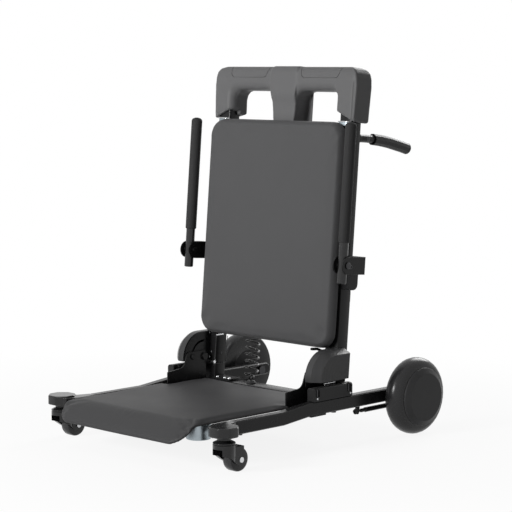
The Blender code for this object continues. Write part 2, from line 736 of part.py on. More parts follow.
def build_strut():
    """A sleeved rod with an eye at each end, on the pins below the rail."""
    ring = [(STRUT_PIN_RADIUS + GAP, 0.002), (STRUT_EYE_RADIUS - 0.0008, 0.002), (STRUT_EYE_RADIUS, 0.0012),
            (STRUT_EYE_RADIUS, -0.0012), (STRUT_EYE_RADIUS - 0.0008, -0.002),
            (STRUT_PIN_RADIUS + GAP, -0.002)]
    ring_x = RAIL_X - 0.0015
    strut = turned("rear_strut_right", ring, ALONG_X, steps=14, closed=True)
    strut.data.transform(Matrix.Translation((ring_x, STRUT_FRONT_Y, STRUT_Z)))
    other = turned("strut_rear_eye", ring, ALONG_X, steps=14, closed=True)
    other.data.transform(Matrix.Translation((ring_x, STRUT_REAR_Y, STRUT_Z)))
    near, far = STRUT_EYE_RADIUS - 0.0012, STRUT_REAR_Y - STRUT_FRONT_Y - STRUT_EYE_RADIUS + 0.0012
    rod, sleeve = STRUT_ROD_RADIUS, STRUT_SLEEVE_RADIUS
    bar = turned("strut_rod", [
        (0, far), (rod, far), (rod, far - 0.012), (sleeve, far - 0.015), (sleeve, near + 0.030),
        (sleeve - 0.0015, near + 0.028), (sleeve - 0.0015, near + 0.014), (rod, near + 0.012), (rod, near),
        (0, near)], ALONG_Y, steps=12)
    bar.data.transform(Matrix.Translation((ring_x, STRUT_FRONT_Y, STRUT_Z)))
    join(strut, other, bar)
    return pair(strut)


def column_section(inset_x, inset_depth, radius, x=UPRIGHT_X):
    """Section of a lifting column, drawn in from the outline of the upright."""
    half_w, half_d = UPRIGHT_WIDTH / 2 - inset_x, UPRIGHT_DEPTH / 2 - inset_depth
    return rounded(slab(x - half_w, -half_d, x + half_w, half_d, radius), 2)


def mast_section(clearance, radius):
    inset_x = (UPRIGHT_WIDTH - MAST_WIDTH) / 2 - clearance
    return column_section(inset_x, (UPRIGHT_DEPTH - MAST_DEPTH) / 2 - clearance, radius)


def build_mast(frame):
    """Inner tube of a lifting column, with its upper glide and the flanged socket on the beam."""
    socket_top = UPRIGHT_BOTTOM - GAP
    mast = prism("lift_mast_right", mast_section(0, 0.002), socket_top - 0.02, MAST_TOP, PLAN)
    slide = UPRIGHT_WALL + GLIDE_CLEARANCE
    glide = prism("mast_glide", column_section(slide, slide, 0.001), MAST_TOP - GLIDE_LENGTH, MAST_TOP, PLAN)
    socket = prism("mast_socket", column_section(SOCKET_INSET, SOCKET_INSET, UPRIGHT_EDGE),
                   BEAM_TOP + SOCKET_FLANGE / 2, socket_top, PLAN)
    bore = prism("mast_inside", mast_section(-MAST_WALL, 0.001), socket_top, MAST_TOP + 0.01, PLAN)
    carry(frame, mast, glide, socket, bore)
    outer = UPRIGHT_X + UPRIGHT_WIDTH / 2 - SOCKET_INSET
    inner = UPRIGHT_X - UPRIGHT_WIDTH / 2 - FLANGE_REACH
    flange = prism("socket_flange", rounded(slab(
        inner, beam_middle() - FLANGE_HALF_DEPTH, outer, beam_middle() + FLANGE_HALF_DEPTH, 0.004), 2),
        BEAM_TOP + GAP, BEAM_TOP + GAP + SOCKET_FLANGE, PLAN)
    join(mast, glide, socket, flange)
    cut(mast, bore)
    return pair(mast)


# Carriage
def build_upright(frame):
    """Outer tube of a lifting column, with its lower glide, the plug and the lift rod."""
    top = CROWN_BOTTOM + CROWN_SEAT
    upright = prism("upright_right", column_section(0, 0, UPRIGHT_EDGE), UPRIGHT_BOTTOM, top, PLAN)
    wall = column_section(UPRIGHT_WALL, UPRIGHT_WALL, 0)
    glide_top = UPRIGHT_BOTTOM + GLIDE_LENGTH
    spaces = [
        prism("glide_inside", mast_section(GLIDE_CLEARANCE, 0.002), UPRIGHT_BOTTOM - 0.01,
              glide_top + 0.01, PLAN),
        prism("upright_inside", wall, glide_top, PLUG_BOTTOM, PLAN),
        prism("upright_end", wall, PLUG_BOTTOM + PLUG_HEIGHT, top + 0.01, PLAN)]
    half_w, half_d = UPRIGHT_WIDTH / 2, UPRIGHT_DEPTH / 2
    groove = box("upright_groove", (UPRIGHT_X + half_w - 0.0012, half_d - 0.0182, MOUNT_TOP + 0.003),
                 (UPRIGHT_X + half_w + 0.01, half_d - 0.0164, CROWN_BOTTOM - 0.004))
    cut(upright, *spaces, groove)
    piston = min(MAST_WIDTH, MAST_DEPTH) / 2 - MAST_WALL - PISTON_CLEARANCE
    rod = turned("lift_rod", [
        (0, PLUG_BOTTOM + PLUG_HEIGHT / 2), (ROD_RADIUS, PLUG_BOTTOM + PLUG_HEIGHT / 2),
        (ROD_RADIUS, ROD_BOTTOM + PISTON_LENGTH), (piston, ROD_BOTTOM + PISTON_LENGTH),
        (piston, ROD_BOTTOM), (0, ROD_BOTTOM)], steps=16)
    rod.data.transform(Matrix.Translation((UPRIGHT_X, 0, 0)))
    join(upright, rod)
    carry(frame, upright)
    return pair(upright)


def build_cross_members(frame):
    """Yoke between the uprights, and the lower bar behind them."""
    inside = UPRIGHT_X - UPRIGHT_WIDTH / 2 - GAP
    half_d = UPRIGHT_DEPTH / 2 - GAP
    low = PAD_TOP - YOKE_BELOW_PAD_TOP
    yoke = prism("lift_yoke", rounded(slab(
        -half_d, low, half_d, low + YOKE_HEIGHT, 0.003), 1), -inside, inside, SIDE)
    near = UPRIGHT_DEPTH / 2 + GAP
    bar = prism("lower_bar", rounded(slab(
        near, BAR_BOTTOM, near + BAR_DEPTH, BAR_BOTTOM + BAR_HEIGHT, 0.003), 2), -BAR_REACH, BAR_REACH, SIDE)
    carry(frame, yoke, bar)
    return yoke, bar


def build_back(frame):
    """Board that rests on the uprights, and the pad on it."""
    board_rear = -UPRIGHT_DEPTH / 2 - GAP
    board = prism("back_board", rounded(slab(
        -PAD_HALF_WIDTH + BOARD_INSET, PAD_BOTTOM + BOARD_INSET, PAD_HALF_WIDTH - BOARD_INSET,
        PAD_TOP - BOARD_INSET, PAD_CORNER - 0.008), 4), board_rear - BOARD_THICKNESS, board_rear, FRONT,
        "moulded_black", edge=0.0015)
    pad = prism("back_pad", rounded(slab(
        -PAD_HALF_WIDTH, PAD_BOTTOM, PAD_HALF_WIDTH, PAD_TOP, PAD_CORNER), 5),
        PAD_FRONT, PAD_REAR, FRONT, "upholstery", edge=PAD_EDGE, edge_steps=2)
    carry(frame, board, pad)
    return board, pad


def crown_outline():
    """Front view: a top bar, two legs, and a pillar between two hand holes."""
    foot = PAD_TOP - BOARD_INSET + GAP
    right = [
        (PILLAR_FOOT_X, foot, 0.004), (PILLAR_FOOT_X, CROWN_BOTTOM - 0.002, 0.010),
        (PILLAR_HEAD_X, HOLE_TOP, HOLE_CORNER), (HOLE_OUTER_X, HOLE_TOP, HOLE_CORNER),
        (HOLE_OUTER_X - 0.0025, CROWN_BOTTOM + 0.016, 0.004), (CROWN_LEG_HALF_WIDTH, CROWN_BOTTOM, 0.005),
        (CROWN_HALF_WIDTH, HOLE_TOP + 0.012, 0.020), (CROWN_HALF_WIDTH - 0.0035, CROWN_TOP - 0.004, 0.030),
        (CROWN_HALF_WIDTH - 0.050, CROWN_TOP + CROWN_TRIM, 0.03),
    ]
    left = [(-u, v, radius) for u, v, radius in reversed(right)]
    return rounded(right + left, 3)


def crown_section(inset):
    """Side view of the top bar: a rolled top, drawn in by inset, that opens a little downward."""
    half, top = CROWN_DEPTH / 2 - inset, CROWN_TOP - inset
    roll = CROWN_ROLL - inset
    return rounded([(-half - CROWN_FLARE, PAD_BOTTOM, 0), (half + CROWN_FLARE, PAD_BOTTOM, 0),
                    (half, top, roll * 0.75), (-half + 0.004, top, roll * 0.62),
                    (-half, top - roll, 0.016)], 4)


def grip_outline(clearance):
    """Front view of a hand grip: a tapered saddle over the top bar."""
    inner, outer = GRIP_INNER_X + clearance, GRIP_OUTER_X - clearance
    top, bottom = CROWN_TOP + 0.02, GRIP_BOTTOM + clearance
    slope = GRIP_SLOPE
    return rounded([(inner + slope, bottom, 0.006), (outer - slope, bottom, 0.006),
                    (outer, top, 0), (inner, top, 0)], 3)


def mirrored(outline):
    return [(-u, v) for u, v in reversed(outline)]


def crown_body(name, finish="moulded_black"):
    body = prism(name, crown_outline(), -CROWN_DEPTH / 2, CROWN_DEPTH / 2, FRONT, finish,
                 edge=CROWN_EDGE, edge_steps=2)
    reach = CROWN_HALF_WIDTH + 0.02
    return boolean(body, prism("crown_section", crown_section(0), -reach, reach, SIDE), "INTERSECT")


def grip_space(name, clearance, side, finish="soft_grip"):
    """The skin over the top bar that a hand grip fills, or its pocket with a clearance."""
    outline = grip_outline(-clearance)
    if side < 0:
        outline = mirrored(outline)
    space = prism(name, outline, -0.05, 0.05, FRONT, finish)
    core = prism("grip_core", crown_section(GRIP_SKIN + clearance), -0.4, 0.4, SIDE)
    return cut(space, core)


def shape_pillar(crown):
    """Sets the pillar's front back below the bar, and gives it a wider flange at the rear."""
    foot = PAD_TOP - BOARD_INSET - 0.004
    reach = PILLAR_HEAD_X + 0.006
    face, clear = -CROWN_DEPTH / 2, -CROWN_DEPTH / 2 - 0.01
    recess = prism("pillar_recess", [
        (clear, foot), (face + PILLAR_SET_BACK, foot), (face + PILLAR_SET_BACK, HOLE_TOP - 0.010),
        (face - 0.001, HOLE_TOP + 0.018), (clear, HOLE_TOP + 0.018)], -reach, reach, SIDE)
    rear = CROWN_DEPTH / 2 - PILLAR_FLANGE_INSET
    flange = box("pillar_flange", (-PILLAR_FLANGE_X, rear - PILLAR_FLANGE, foot + 0.0013),
                 (PILLAR_FLANGE_X, rear, HOLE_TOP + 0.006))
    return join(cut(crown, recess), flange)


def build_crown(frame):
    crown = shape_pillar(crown_body("crown"))
    for side in (1, -1):
        cut(crown, grip_space("grip_pocket", GAP, side))
    for side in (1, -1):
        x = UPRIGHT_X * side
        section = column_section(-GAP, -GAP, UPRIGHT_EDGE, x)
        pocket = prism("leg_pocket", section, CROWN_BOTTOM - 0.02, CROWN_BOTTOM + CROWN_SEAT + GAP, PLAN)
        pocket.data.transform(Matrix.Translation((0, -CROWN_OFFSET, 0)))
        cut(crown, pocket)
    grips = []
    for side, name in ((1, "crown_grip_right"), (-1, "crown_grip_left")):
        grip = grip_space(name, 0, side)
        boolean(grip, crown_body("grip_envelope"), "INTERSECT")
        grips.append(grip)
    middle = bpy.data.objects.new("crown_frame", None)
    middle.parent = frame
    middle.location.y = CROWN_OFFSET
    PARTS.objects.link(middle)
    carry(middle, crown, *grips)
    return crown, grips


def handle_path():
    """Side view of a push handle: straight out of the upright, then a little down."""
    near = UPRIGHT_DEPTH / 2 + GAP
    bends = [(near, HANDLE_HEIGHT), (0.060, HANDLE_HEIGHT + 0.001), (0.090, HANDLE_HEIGHT + 0.0005),
             (0.120, HANDLE_HEIGHT - 0.001), (0.150, HANDLE_HEIGHT - 0.004),
             (0.180, HANDLE_HEIGHT - 0.0085), (0.205, HANDLE_HEIGHT - 0.0125),
             (0.2315, HANDLE_HEIGHT - 0.0175)]
    return [(HANDLE_X, v, w) for v, w in bends]


def build_push_handle(frame):
    path = handle_path()
    tube = wire("push_handle_right", path[:-1], HANDLE_RADIUS)
    near = UPRIGHT_DEPTH / 2 + GAP
    flange = turned("handle_flange", [
        (0, 0.010), (HANDLE_RADIUS + 0.003, 0.010), (HANDLE_RADIUS + 0.0035, 0.006),
        (HANDLE_FLANGE_RADIUS - 0.0005, 0.0045), (HANDLE_FLANGE_RADIUS, 0.004),
        (HANDLE_FLANGE_RADIUS, 0), (0, 0)], ALONG_Y, steps=24)
    flange.data.transform(Matrix.Translation((HANDLE_X, near, HANDLE_HEIGHT)))
    join(tube, flange)
    tip = Vector(path[-1])
    along = (tip - Vector(path[-2])).normalized()
    route = [(HANDLE_X, 0.0865, HANDLE_HEIGHT + 0.0006)] + path[3:-1] + [tip - along * 0.006]
    grip = wire("push_grip_right", route, HANDLE_GRIP_RADIUS, "soft_grip")
    dome = turned("grip_dome", [(HANDLE_GRIP_RADIUS * sin(a), 0.006 * cos(a)) for a in (0, pi / 6, pi / 3)]
                  + [(HANDLE_GRIP_RADIUS, 0), (HANDLE_GRIP_RADIUS, -0.001), (0, -0.001)], steps=16)
    dome.data.transform(Matrix.Translation(tip - along * 0.006)
                        @ Vector((0, 0, 1)).rotation_difference(along).to_matrix().to_4x4())
    bore = wire("grip_bore", [(HANDLE_X, 0.05, HANDLE_HEIGHT + 0.001)] + path[2:-1], HANDLE_RADIUS + GAP)
    join(grip, dome)
    cut(grip, bore)
    carry(frame, tube, grip)
    return (*pair(tube), *pair(grip))


def ear_outline(back):
    centre = (ARM_OFFSET + 0.003, ARM_PIVOT_HEIGHT)
    outline = arc(centre, EAR_RADIUS, 270, 90, 12)
    return outline + [(back, ARM_PIVOT_HEIGHT + EAR_RADIUS), (back, ARM_PIVOT_HEIGHT - EAR_RADIUS)]


def build_arm_bracket(frame):
    """Mount block with a clevis for the armrest and a web that its tail stops on."""
    near = UPRIGHT_X + UPRIGHT_WIDTH / 2 + GAP
    inner_face = ARM_X - EAR_GAP / 2
    outer_face = ARM_X + EAR_GAP / 2
    half_d = UPRIGHT_DEPTH / 2
    bracket = prism("arm_bracket_right", rounded([
        (-half_d, MOUNT_BOTTOM, 0.004), (half_d - 0.005, MOUNT_BOTTOM, 0.014),
        (half_d - 0.005, MOUNT_TOP, 0.004), (-half_d, MOUNT_TOP, 0.004)], 3), near, inner_face, SIDE,
        edge=0.0012)
    inner_ear = prism("inner_ear", ear_outline(-half_d + 0.008), inner_face - EAR_THICKNESS, inner_face, SIDE)
    outer_ear = prism("outer_ear", ear_outline(0.0023), outer_face, outer_face + EAR_THICKNESS, SIDE,
                      edge=0.0008)
    web = box("bracket_web", (inner_face - 0.002, -0.0137, ARM_PIVOT_HEIGHT - EAR_RADIUS),
              (outer_face + 0.002, 0.0021, ARM_PIVOT_HEIGHT + EAR_RADIUS))
    bore = hole("ear_bore", (0, ARM_OFFSET, ARM_PIVOT_HEIGHT), ARM_BOLT_RADIUS + GAP, inner_face - 0.03,
                outer_face + 0.03, steps=16)
    join(bracket, inner_ear, outer_ear, web)
    cut(bracket, bore)
    outside = outer_face + EAR_THICKNESS + GAP - ARM_X
    inside = inner_face - EAR_THICKNESS - GAP - ARM_X
    shank, collar = ARM_BOLT_RADIUS, 0.008
    tube = ARM_TUBE_RADIUS + GAP
    bolt = turned("arm_bolt_right", [
        (0, outside + 0.004), (0.0065, outside + 0.004), (0.009, outside + 0.0025), (0.009, outside),
        (shank, outside), (shank, EAR_GAP / 2 - GAP), (collar, EAR_GAP / 2 - GAP), (collar, tube),
        (shank, tube), (shank, -tube), (collar, -tube), (collar, -EAR_GAP / 2 + GAP),
        (shank, -EAR_GAP / 2 + GAP), (shank, inside), (0.008, inside), (0.008, inside - 0.006),
        (0, inside - 0.006)], ALONG_X, "bright_steel", steps=16)
    bolt.location = (ARM_X, ARM_OFFSET, ARM_PIVOT_HEIGHT)
    carry(frame, bracket, bolt)
    return (*pair(bracket), *pair(bolt))


def build_arm(frame):
    radius, inner = ARM_TUBE_RADIUS, ARM_TUBE_RADIUS - ARM_TUBE_WALL
    end = ARM_GRIP_TOP - 0.012
    low = ARM_PIVOT_HEIGHT - ARM_TAIL
    plug = ARM_PIVOT_HEIGHT + 0.02
    tube = turned("arm_tube_right", [
        (0, plug), (inner, plug), (inner, end), (radius, end), (radius, low + 0.002), (radius - 0.002, low),
        (0, low)], steps=20)
    tube.data.transform(Matrix.Translation((ARM_X, ARM_OFFSET, 0)))
    flats = hole("arm_bore", (0, ARM_OFFSET, ARM_PIVOT_HEIGHT), ARM_BOLT_RADIUS + GAP, ARM_X - 0.05,
                 ARM_X + 0.05, steps=16)
    cut(tube, flats)
    skin, bore = ARM_GRIP_RADIUS, ARM_TUBE_RADIUS + GAP
    dome = [(skin * sin(a), ARM_GRIP_TOP - 0.009 + 0.009 * cos(a)) for a in [k * pi / 8 for k in range(5)]]
    grip = turned("arm_grip_right", dome + [
        (skin, ARM_GRIP_BOTTOM + 0.002), (skin - 0.0015, ARM_GRIP_BOTTOM), (bore, ARM_GRIP_BOTTOM),
        (bore, end + GAP), (0, end + GAP)], finish="soft_grip", steps=24)
    grip.data.transform(Matrix.Translation((ARM_X, ARM_OFFSET, 0)))
    for piece in (tube, grip):
        turn_about(piece, (ARM_X, ARM_OFFSET, ARM_PIVOT_HEIGHT))
    carry(frame, tube, grip)
    return (*pair(tube), *pair(grip))


# Hinge plates and covers
def front_of_upright(z, gap):
    """World Y just ahead of the upright's front face at a height."""
    offset = -UPRIGHT_DEPTH / 2 - gap
    height = (z + offset * sin(BACK_LEAN)) / cos(BACK_LEAN)
    return lean_point(offset, height)[0]


def build_hinge_plate(frame):
    """Quarter-round plate with the arc slot of the guide pin, and a flange on the upright."""
    centre = (HINGE_Y, HINGE_Z)
    start, end = 180 - PIN_START * 180 / pi, 180 - (PIN_START + FOLD_RANGE) * 180 / pi
    outline = arc(centre, HINGE_ARC, 180, 90, 12)
    top = HINGE_Z + HINGE_ARC
    low = HINGE_PLATE_BOTTOM
    outline += [(front_of_upright(top, GAP + 0.001), top), (front_of_upright(low, GAP + 0.001), low),
                (HINGE_Y - HINGE_ARC, low)]
    half = PIN_RADIUS + GAP
    over = 4
    slot = arc(centre, SLOT_RADIUS + half, start + over, end - over, 14)
    slot += arc(centre, SLOT_RADIUS - half, end - over, start + over, 14)
    pivot = arc(centre, PIVOT_RADIUS + GAP, 0, 360, 20)[:-1]
    low_x, high_x = HINGE_PLATE_X, HINGE_PLATE_X + HINGE_PLATE_THICKNESS
    plate = prism("hinge_plate_right", [outline, slot, pivot], low_x, high_x, SIDE)
    near = -UPRIGHT_DEPTH / 2 - GAP
    flange = prism("hinge_flange", rounded(slab(
        UPRIGHT_X - UPRIGHT_WIDTH / 2 + 0.0005, low, high_x, top - 0.001, 0.002), 1),
        near - FLANGE_THICKNESS, near, FRONT)
    carry(frame, flange)
    join(plate, flange)
    left = left_of(plate, "hinge_plate_left")
    half_w = LEVER_WIDTH / 2 + GAP
    for x in (LEVER_X - half_w - 0.0025, LEVER_X + half_w):
        ear = prism("lever_ear", rounded([
            (near - 0.001, LEVER_PIVOT_HEIGHT - 0.008, 0), (near - 0.001, LEVER_PIVOT_HEIGHT + 0.006, 0),
            (LEVER_PIVOT_OFFSET - 0.006, LEVER_PIVOT_HEIGHT + 0.006, 0.005),
            (LEVER_PIVOT_OFFSET - 0.006, LEVER_PIVOT_HEIGHT - 0.006, 0.005)], 3), x, x + 0.0025, SIDE)
        carry(frame, ear)
        join(plate, ear)
    bore = hole("lever_bore", (0, LEVER_PIVOT_OFFSET, LEVER_PIVOT_HEIGHT), 0.002 + GAP, LEVER_X - 0.008,
                LEVER_X + 0.008, steps=12)
    carry(frame, bore)
    cut(plate, bore)
    return plate, left


def build_lever(frame):
    half_t = LEVER_THICKNESS / 2
    pivot = (LEVER_PIVOT_OFFSET, LEVER_PIVOT_HEIGHT)
    reach = LEVER_PIVOT_OFFSET - LEVER_REACH
    lift = 0.011
    lever = prism("release_lever", rounded([
        (pivot[0] + 0.004, pivot[1] - half_t, 0.002), (pivot[0] + 0.004, pivot[1] + half_t, 0.002),
        (reach + 0.022, pivot[1] + lift + half_t, 0.006), (reach, pivot[1] + lift + half_t, half_t * 0.9),
        (reach, pivot[1] + lift - half_t, half_t * 0.9),
        (reach + 0.022, pivot[1] + lift - half_t, 0.006)], 3),
        LEVER_X - LEVER_WIDTH / 2, LEVER_X + LEVER_WIDTH / 2, SIDE, edge=0.001)
    reach_x = LEVER_WIDTH / 2 + GAP + 0.0023
    pin = turned("lever_pin", [(0, reach_x), (0.002, reach_x), (0.002, -reach_x), (0, -reach_x)], ALONG_X,
                 steps=12)
    pin.data.transform(Matrix.Translation((LEVER_X, *pivot)))
    join(lever, pin)
    turn_about(lever, (LEVER_X, *pivot))
    carry(frame, lever)
    return lever


def cover_outline():
    """Side view of the cover: upright front, large round corner, flat top."""
    radius = HINGE_Y - COVER_FRONT_Y - 0.004
    points = [(COVER_REAR_Y - 0.0065, COVER_BOTTOM), (COVER_FRONT_Y + 0.001, COVER_BOTTOM)]
    points += arc((COVER_FRONT_Y + radius, COVER_TOP - radius), radius, 180, 90, 10)
    return points + [(COVER_REAR_Y, COVER_TOP)]


def build_cover(frame):
    """Moulded shell over the hinge: a straight band, a tapered band and a flat face."""
    inner_x = HINGE_PLATE_X + HINGE_PLATE_THICKNESS + GAP
    anchor = Vector((0, COVER_REAR_Y - 0.0065, COVER_BOTTOM))
    work = bmesh.new()
    ring = [work.verts.new((inner_x, *point)) for point in cover_outline()]
    edges = [work.edges.new((ring[i - 1], ring[i])) for i in range(len(ring))]
    for x, scale in ((COVER_BAND_X, 1.0), (COVER_FACE_X, COVER_TAPER)):
        grown = bmesh.ops.extrude_edge_only(work, edges=edges)["geom"]
        edges = [item for item in grown if isinstance(item, bmesh.types.BMEdge)]
        for vert in grown:
            if isinstance(vert, bmesh.types.BMVert):
                vert.co = anchor + (vert.co - anchor) * scale
                vert.co.x = x
    bmesh.ops.contextual_create(work, geom=edges)
    bmesh.ops.recalc_face_normals(work, faces=work.faces)
    mesh = bpy.data.meshes.new("hinge_cover_right")
    work.to_mesh(mesh)
    work.free()
    cover = mesh_object(mesh, "hinge_cover_right", "moulded_black")
    wall = cover.modifiers.new("wall", "SOLIDIFY")
    wall.thickness = COVER_WALL
    wall.offset = -1
    wall.use_even_offset = True
    half_w, half_d = UPRIGHT_WIDTH / 2 + 2 * GAP, UPRIGHT_DEPTH / 2 + 2 * GAP
    clear = prism("cover_slot", rounded(slab(
        UPRIGHT_X - half_w, -half_d, UPRIGHT_X + half_w, half_d), 1), UPRIGHT_BOTTOM - 0.02, 0.30, PLAN)
    carry(frame, clear)
    relief = hole("nut_relief", (0, HINGE_Y, HINGE_Z), PIVOT_NUT_RADIUS + 2 * GAP, inner_x - 0.005,
                  inner_x + PIVOT_NUT_THICKNESS + 0.0015, steps=20)
    cut(cover, clear, relief)
    return pair(cover)


def build_pivot_bolt():
    inner = PIVOT_HEAD_INNER_X
    wing = WING_X - GAP
    plate = HINGE_PLATE_X + HINGE_PLATE_THICKNESS + GAP
    head, shank = PIVOT_HEAD_RADIUS, PIVOT_RADIUS
    bolt = turned("seat_pivot_bolt_right", [
        (0, plate + PIVOT_NUT_THICKNESS), (PIVOT_NUT_RADIUS, plate + PIVOT_NUT_THICKNESS),
        (PIVOT_NUT_RADIUS, plate), (shank, plate), (shank, wing),
        (head, wing), (head, inner + 0.001), (head - 0.001, inner), (0, inner)], ALONG_X, "frame_black",
        steps=20)
    bolt.location = (0, HINGE_Y, HINGE_Z)
    return pair(bolt)


# Seat
def seat_section(top, thickness, rear, inset):
    """Side view of a bent sheet: flat, with a lip turned down at the front."""
    run = SEAT_LIP_LENGTH - inset
    cos_a, sin_a = cos(SEAT_LIP_ANGLE), sin(SEAT_LIP_ANGLE)
    depth = SEAT_TOP - top
    bend = SEAT_BEND_Y + depth * tan(SEAT_LIP_ANGLE / 2)
    under = bend + thickness * tan(SEAT_LIP_ANGLE / 2)
    tip = (bend - run * cos_a, top - run * sin_a)
    low = (tip[0] + thickness * sin_a, tip[1] - thickness * cos_a)
    return rounded([(rear, top - thickness, 0), (rear, top, 0),
                    (bend, top, SEAT_BEND_RADIUS + thickness), (*tip, 0), (*low, 0),
                    (under, top - thickness, SEAT_BEND_RADIUS)], 3)


def notch(name, half_width, inset):
    """Cutter beside the rear part of the seat, where it is narrower."""
    return box(name, (half_width, SEAT_NOTCH_Y + inset, SEAT_TOP - 0.05),
               (SEAT_HALF_WIDTH + 0.02, SEAT_REAR_Y + 0.02, SEAT_TOP + 0.02))


def lip_corner(name, half_width, inset):
    """Cutter that rounds a lower corner of the lip, square to the lip."""
    radius = SEAT_LIP_CORNER
    run = SEAT_LIP_LENGTH - inset
    outline = [(half_width + 0.01, run + 0.01)]
    outline += [(half_width + 0.01, run - radius)]
    outline += arc((half_width - radius, run - radius), radius, 0, 90, 8)
    outline += [(half_width - radius, run + 0.01)]
    cutter = prism(name, outline, -0.03, 0.03, PLAN)
    turn = Matrix.Translation((0, SEAT_BEND_Y, SEAT_TOP)) @ Matrix.Rotation(SEAT_LIP_ANGLE, 4, "X")
    cutter.data.transform(turn @ Matrix.Diagonal((1, -1, 1, 1)))
    cutter.data.flip_normals()
    return cutter


def seat_sheet(name, top, thickness, inset, finish, edge):
    half = SEAT_HALF_WIDTH - inset
    sheet = prism(name, seat_section(top, thickness, SEAT_REAR_Y - inset, inset), -half, half, SIDE, finish)
    for side in (1, -1):
        tools = [notch(name + "_notch", SEAT_REAR_HALF_WIDTH - inset, -inset),
                 lip_corner(name + "_corner", half, inset)]
        for tool in tools:
            if side < 0:
                tool.data.transform(Matrix.Diagonal((-1, 1, 1, 1)))
                tool.data.flip_normals()
            cut(sheet, tool)
    if edge:
        soften(sheet, edge, 2, 50)
    turn_about(sheet, (0, HINGE_Y, HINGE_Z))
    return sheet


def build_seat():
    pad = seat_sheet("seat_pad", SEAT_TOP, SEAT_PAD_THICKNESS, 0, "upholstery", 0.003)
    pan_top = SEAT_TOP - SEAT_PAD_THICKNESS - GAP
    pan = seat_sheet("seat_pan", pan_top, SEAT_PAN_THICKNESS, SEAT_PAN_INSET, "frame_black", 0)
    return pad, pan


def build_wing():
    """Side plate of the seat with its foot under the pan, its hinge eye and guide pin."""
    low = SEAT_TOP - SEAT_PAD_THICKNESS - SEAT_PAN_THICKNESS - 2 * GAP
    pin_y = HINGE_Y - SLOT_RADIUS * cos(PIN_START)
    pin_z = HINGE_Z + SLOT_RADIUS * sin(PIN_START)
    outline = rounded([
        (WING_FRONT_Y, low - 0.003, 0), (WING_FRONT_Y, 0.143, 0.002), (0.0045, 0.149, 0.020),
        (0.0175, WING_TOP - 0.003, 0.006), (0.024, WING_TOP, 0.004), (WING_REAR_Y, WING_TOP, 0.006),
        (WING_REAR_Y, low - 0.003, 0)], 4)
    pivot = arc((HINGE_Y, HINGE_Z), PIVOT_RADIUS + GAP, 0, 360, 20)[:-1]
    wing = prism("seat_wing_right", [outline, pivot], WING_X, WING_X + WING_THICKNESS, SIDE)
    foot = box("wing_foot", (WING_X + 0.001 - WING_FLANGE_WIDTH, WING_FRONT_Y + 0.002, low - 0.003),
               (WING_X + 0.001, SEAT_REAR_Y - SEAT_PAN_INSET, low))
    outside = HINGE_PLATE_X + HINGE_PLATE_THICKNESS + 0.0012
    pin = turned("guide_pin", [
        (0, outside + 0.0022), (0.0062, outside + 0.0022), (0.0062, outside), (PIN_RADIUS, outside),
        (PIN_RADIUS, WING_X + 0.001), (0.0078, WING_X + 0.001), (0.0078, WING_X - 0.0032),
        (0.0068, WING_X - 0.0045), (0, WING_X - 0.0045)], ALONG_X, steps=20)
    pin.data.transform(Matrix.Translation((0, pin_y, pin_z)))
    join(wing, foot, pin)
    turn_about(wing, (0, HINGE_Y, HINGE_Z))
    return pair(wing)


def build_foot():
    """Round support under the front of the pan."""
    top = SEAT_TOP - SEAT_PAD_THICKNESS - SEAT_PAN_THICKNESS - 2 * GAP
    foot = turned("seat_foot_right", [
        (0, top), (FOOT_RADIUS, top), (FOOT_RADIUS, FOOT_BOTTOM + 0.0015),
        (FOOT_RADIUS - 0.0015, FOOT_BOTTOM),
        (0, FOOT_BOTTOM)], finish="zinc", steps=32)
    foot.data.transform(Matrix.Translation((FOOT_X, FOOT_Y, 0)))
    turn_about(foot, (0, HINGE_Y, HINGE_Z))
    return pair(foot)


# Power box and cord
def build_power(frame):
    """Flat housing behind the back board, with the gland of the curly cord below it."""
    half_d = UPRIGHT_DEPTH / 2
    housing = prism("power_box", rounded(slab(
        -BOX_HALF_WIDTH, BOX_BOTTOM, BOX_HALF_WIDTH, PAD_TOP - BOX_BELOW_PAD_TOP, 0.012), 3),
        -half_d, half_d, FRONT,
        "moulded_black", edge=0.003)
    gland = turned("power_gland", [
        (0, BOX_BOTTOM + 0.002), (GLAND_RADIUS + 0.003, BOX_BOTTOM + 0.002),
        (GLAND_RADIUS + 0.003, BOX_BOTTOM - 0.004),
        (GLAND_RADIUS, BOX_BOTTOM - 0.006), (GLAND_RADIUS - 0.004, BOX_BOTTOM - GLAND_HEIGHT),
        (0, BOX_BOTTOM - GLAND_HEIGHT)], steps=20)
    gland.data.transform(Matrix.Translation((CORD_X, CORD_OFFSET, 0)))
    join(housing, gland)
    carry(frame, housing)
    return housing


def build_cord(frame):
    """The curly cord's outer shape, and the fitting on the beam that it rises from."""
    top = BOX_BOTTOM - GLAND_HEIGHT - GAP
    cord = turned("curly_cord", [
        (0, top), (CORD_COIL_RADIUS, top), (CORD_COIL_RADIUS, CORD_BASE_HEIGHT), (0, CORD_BASE_HEIGHT)],
        finish="cord_black", steps=20)
    turn_about(cord, (0, 0, CORD_BASE_HEIGHT))
    cord.location.x = CORD_X
    cord.location.y = CORD_OFFSET
    carry(frame, cord)
    y, z = lean_point(CORD_OFFSET, CORD_BASE_HEIGHT)
    low = BEAM_TOP + GAP
    fitting = turned("cord_fitting", [
        (0, z - 0.0025), (0.009, z - 0.0025), (0.0105, z - 0.004), (0.0105, low + 0.004),
        (0.013, low + 0.003),
        (0.013, low), (0, low)], finish="moulded_black", steps=20)
    fitting.data.transform(Matrix.Translation((CORD_X, y, 0)))
    return cord, fitting


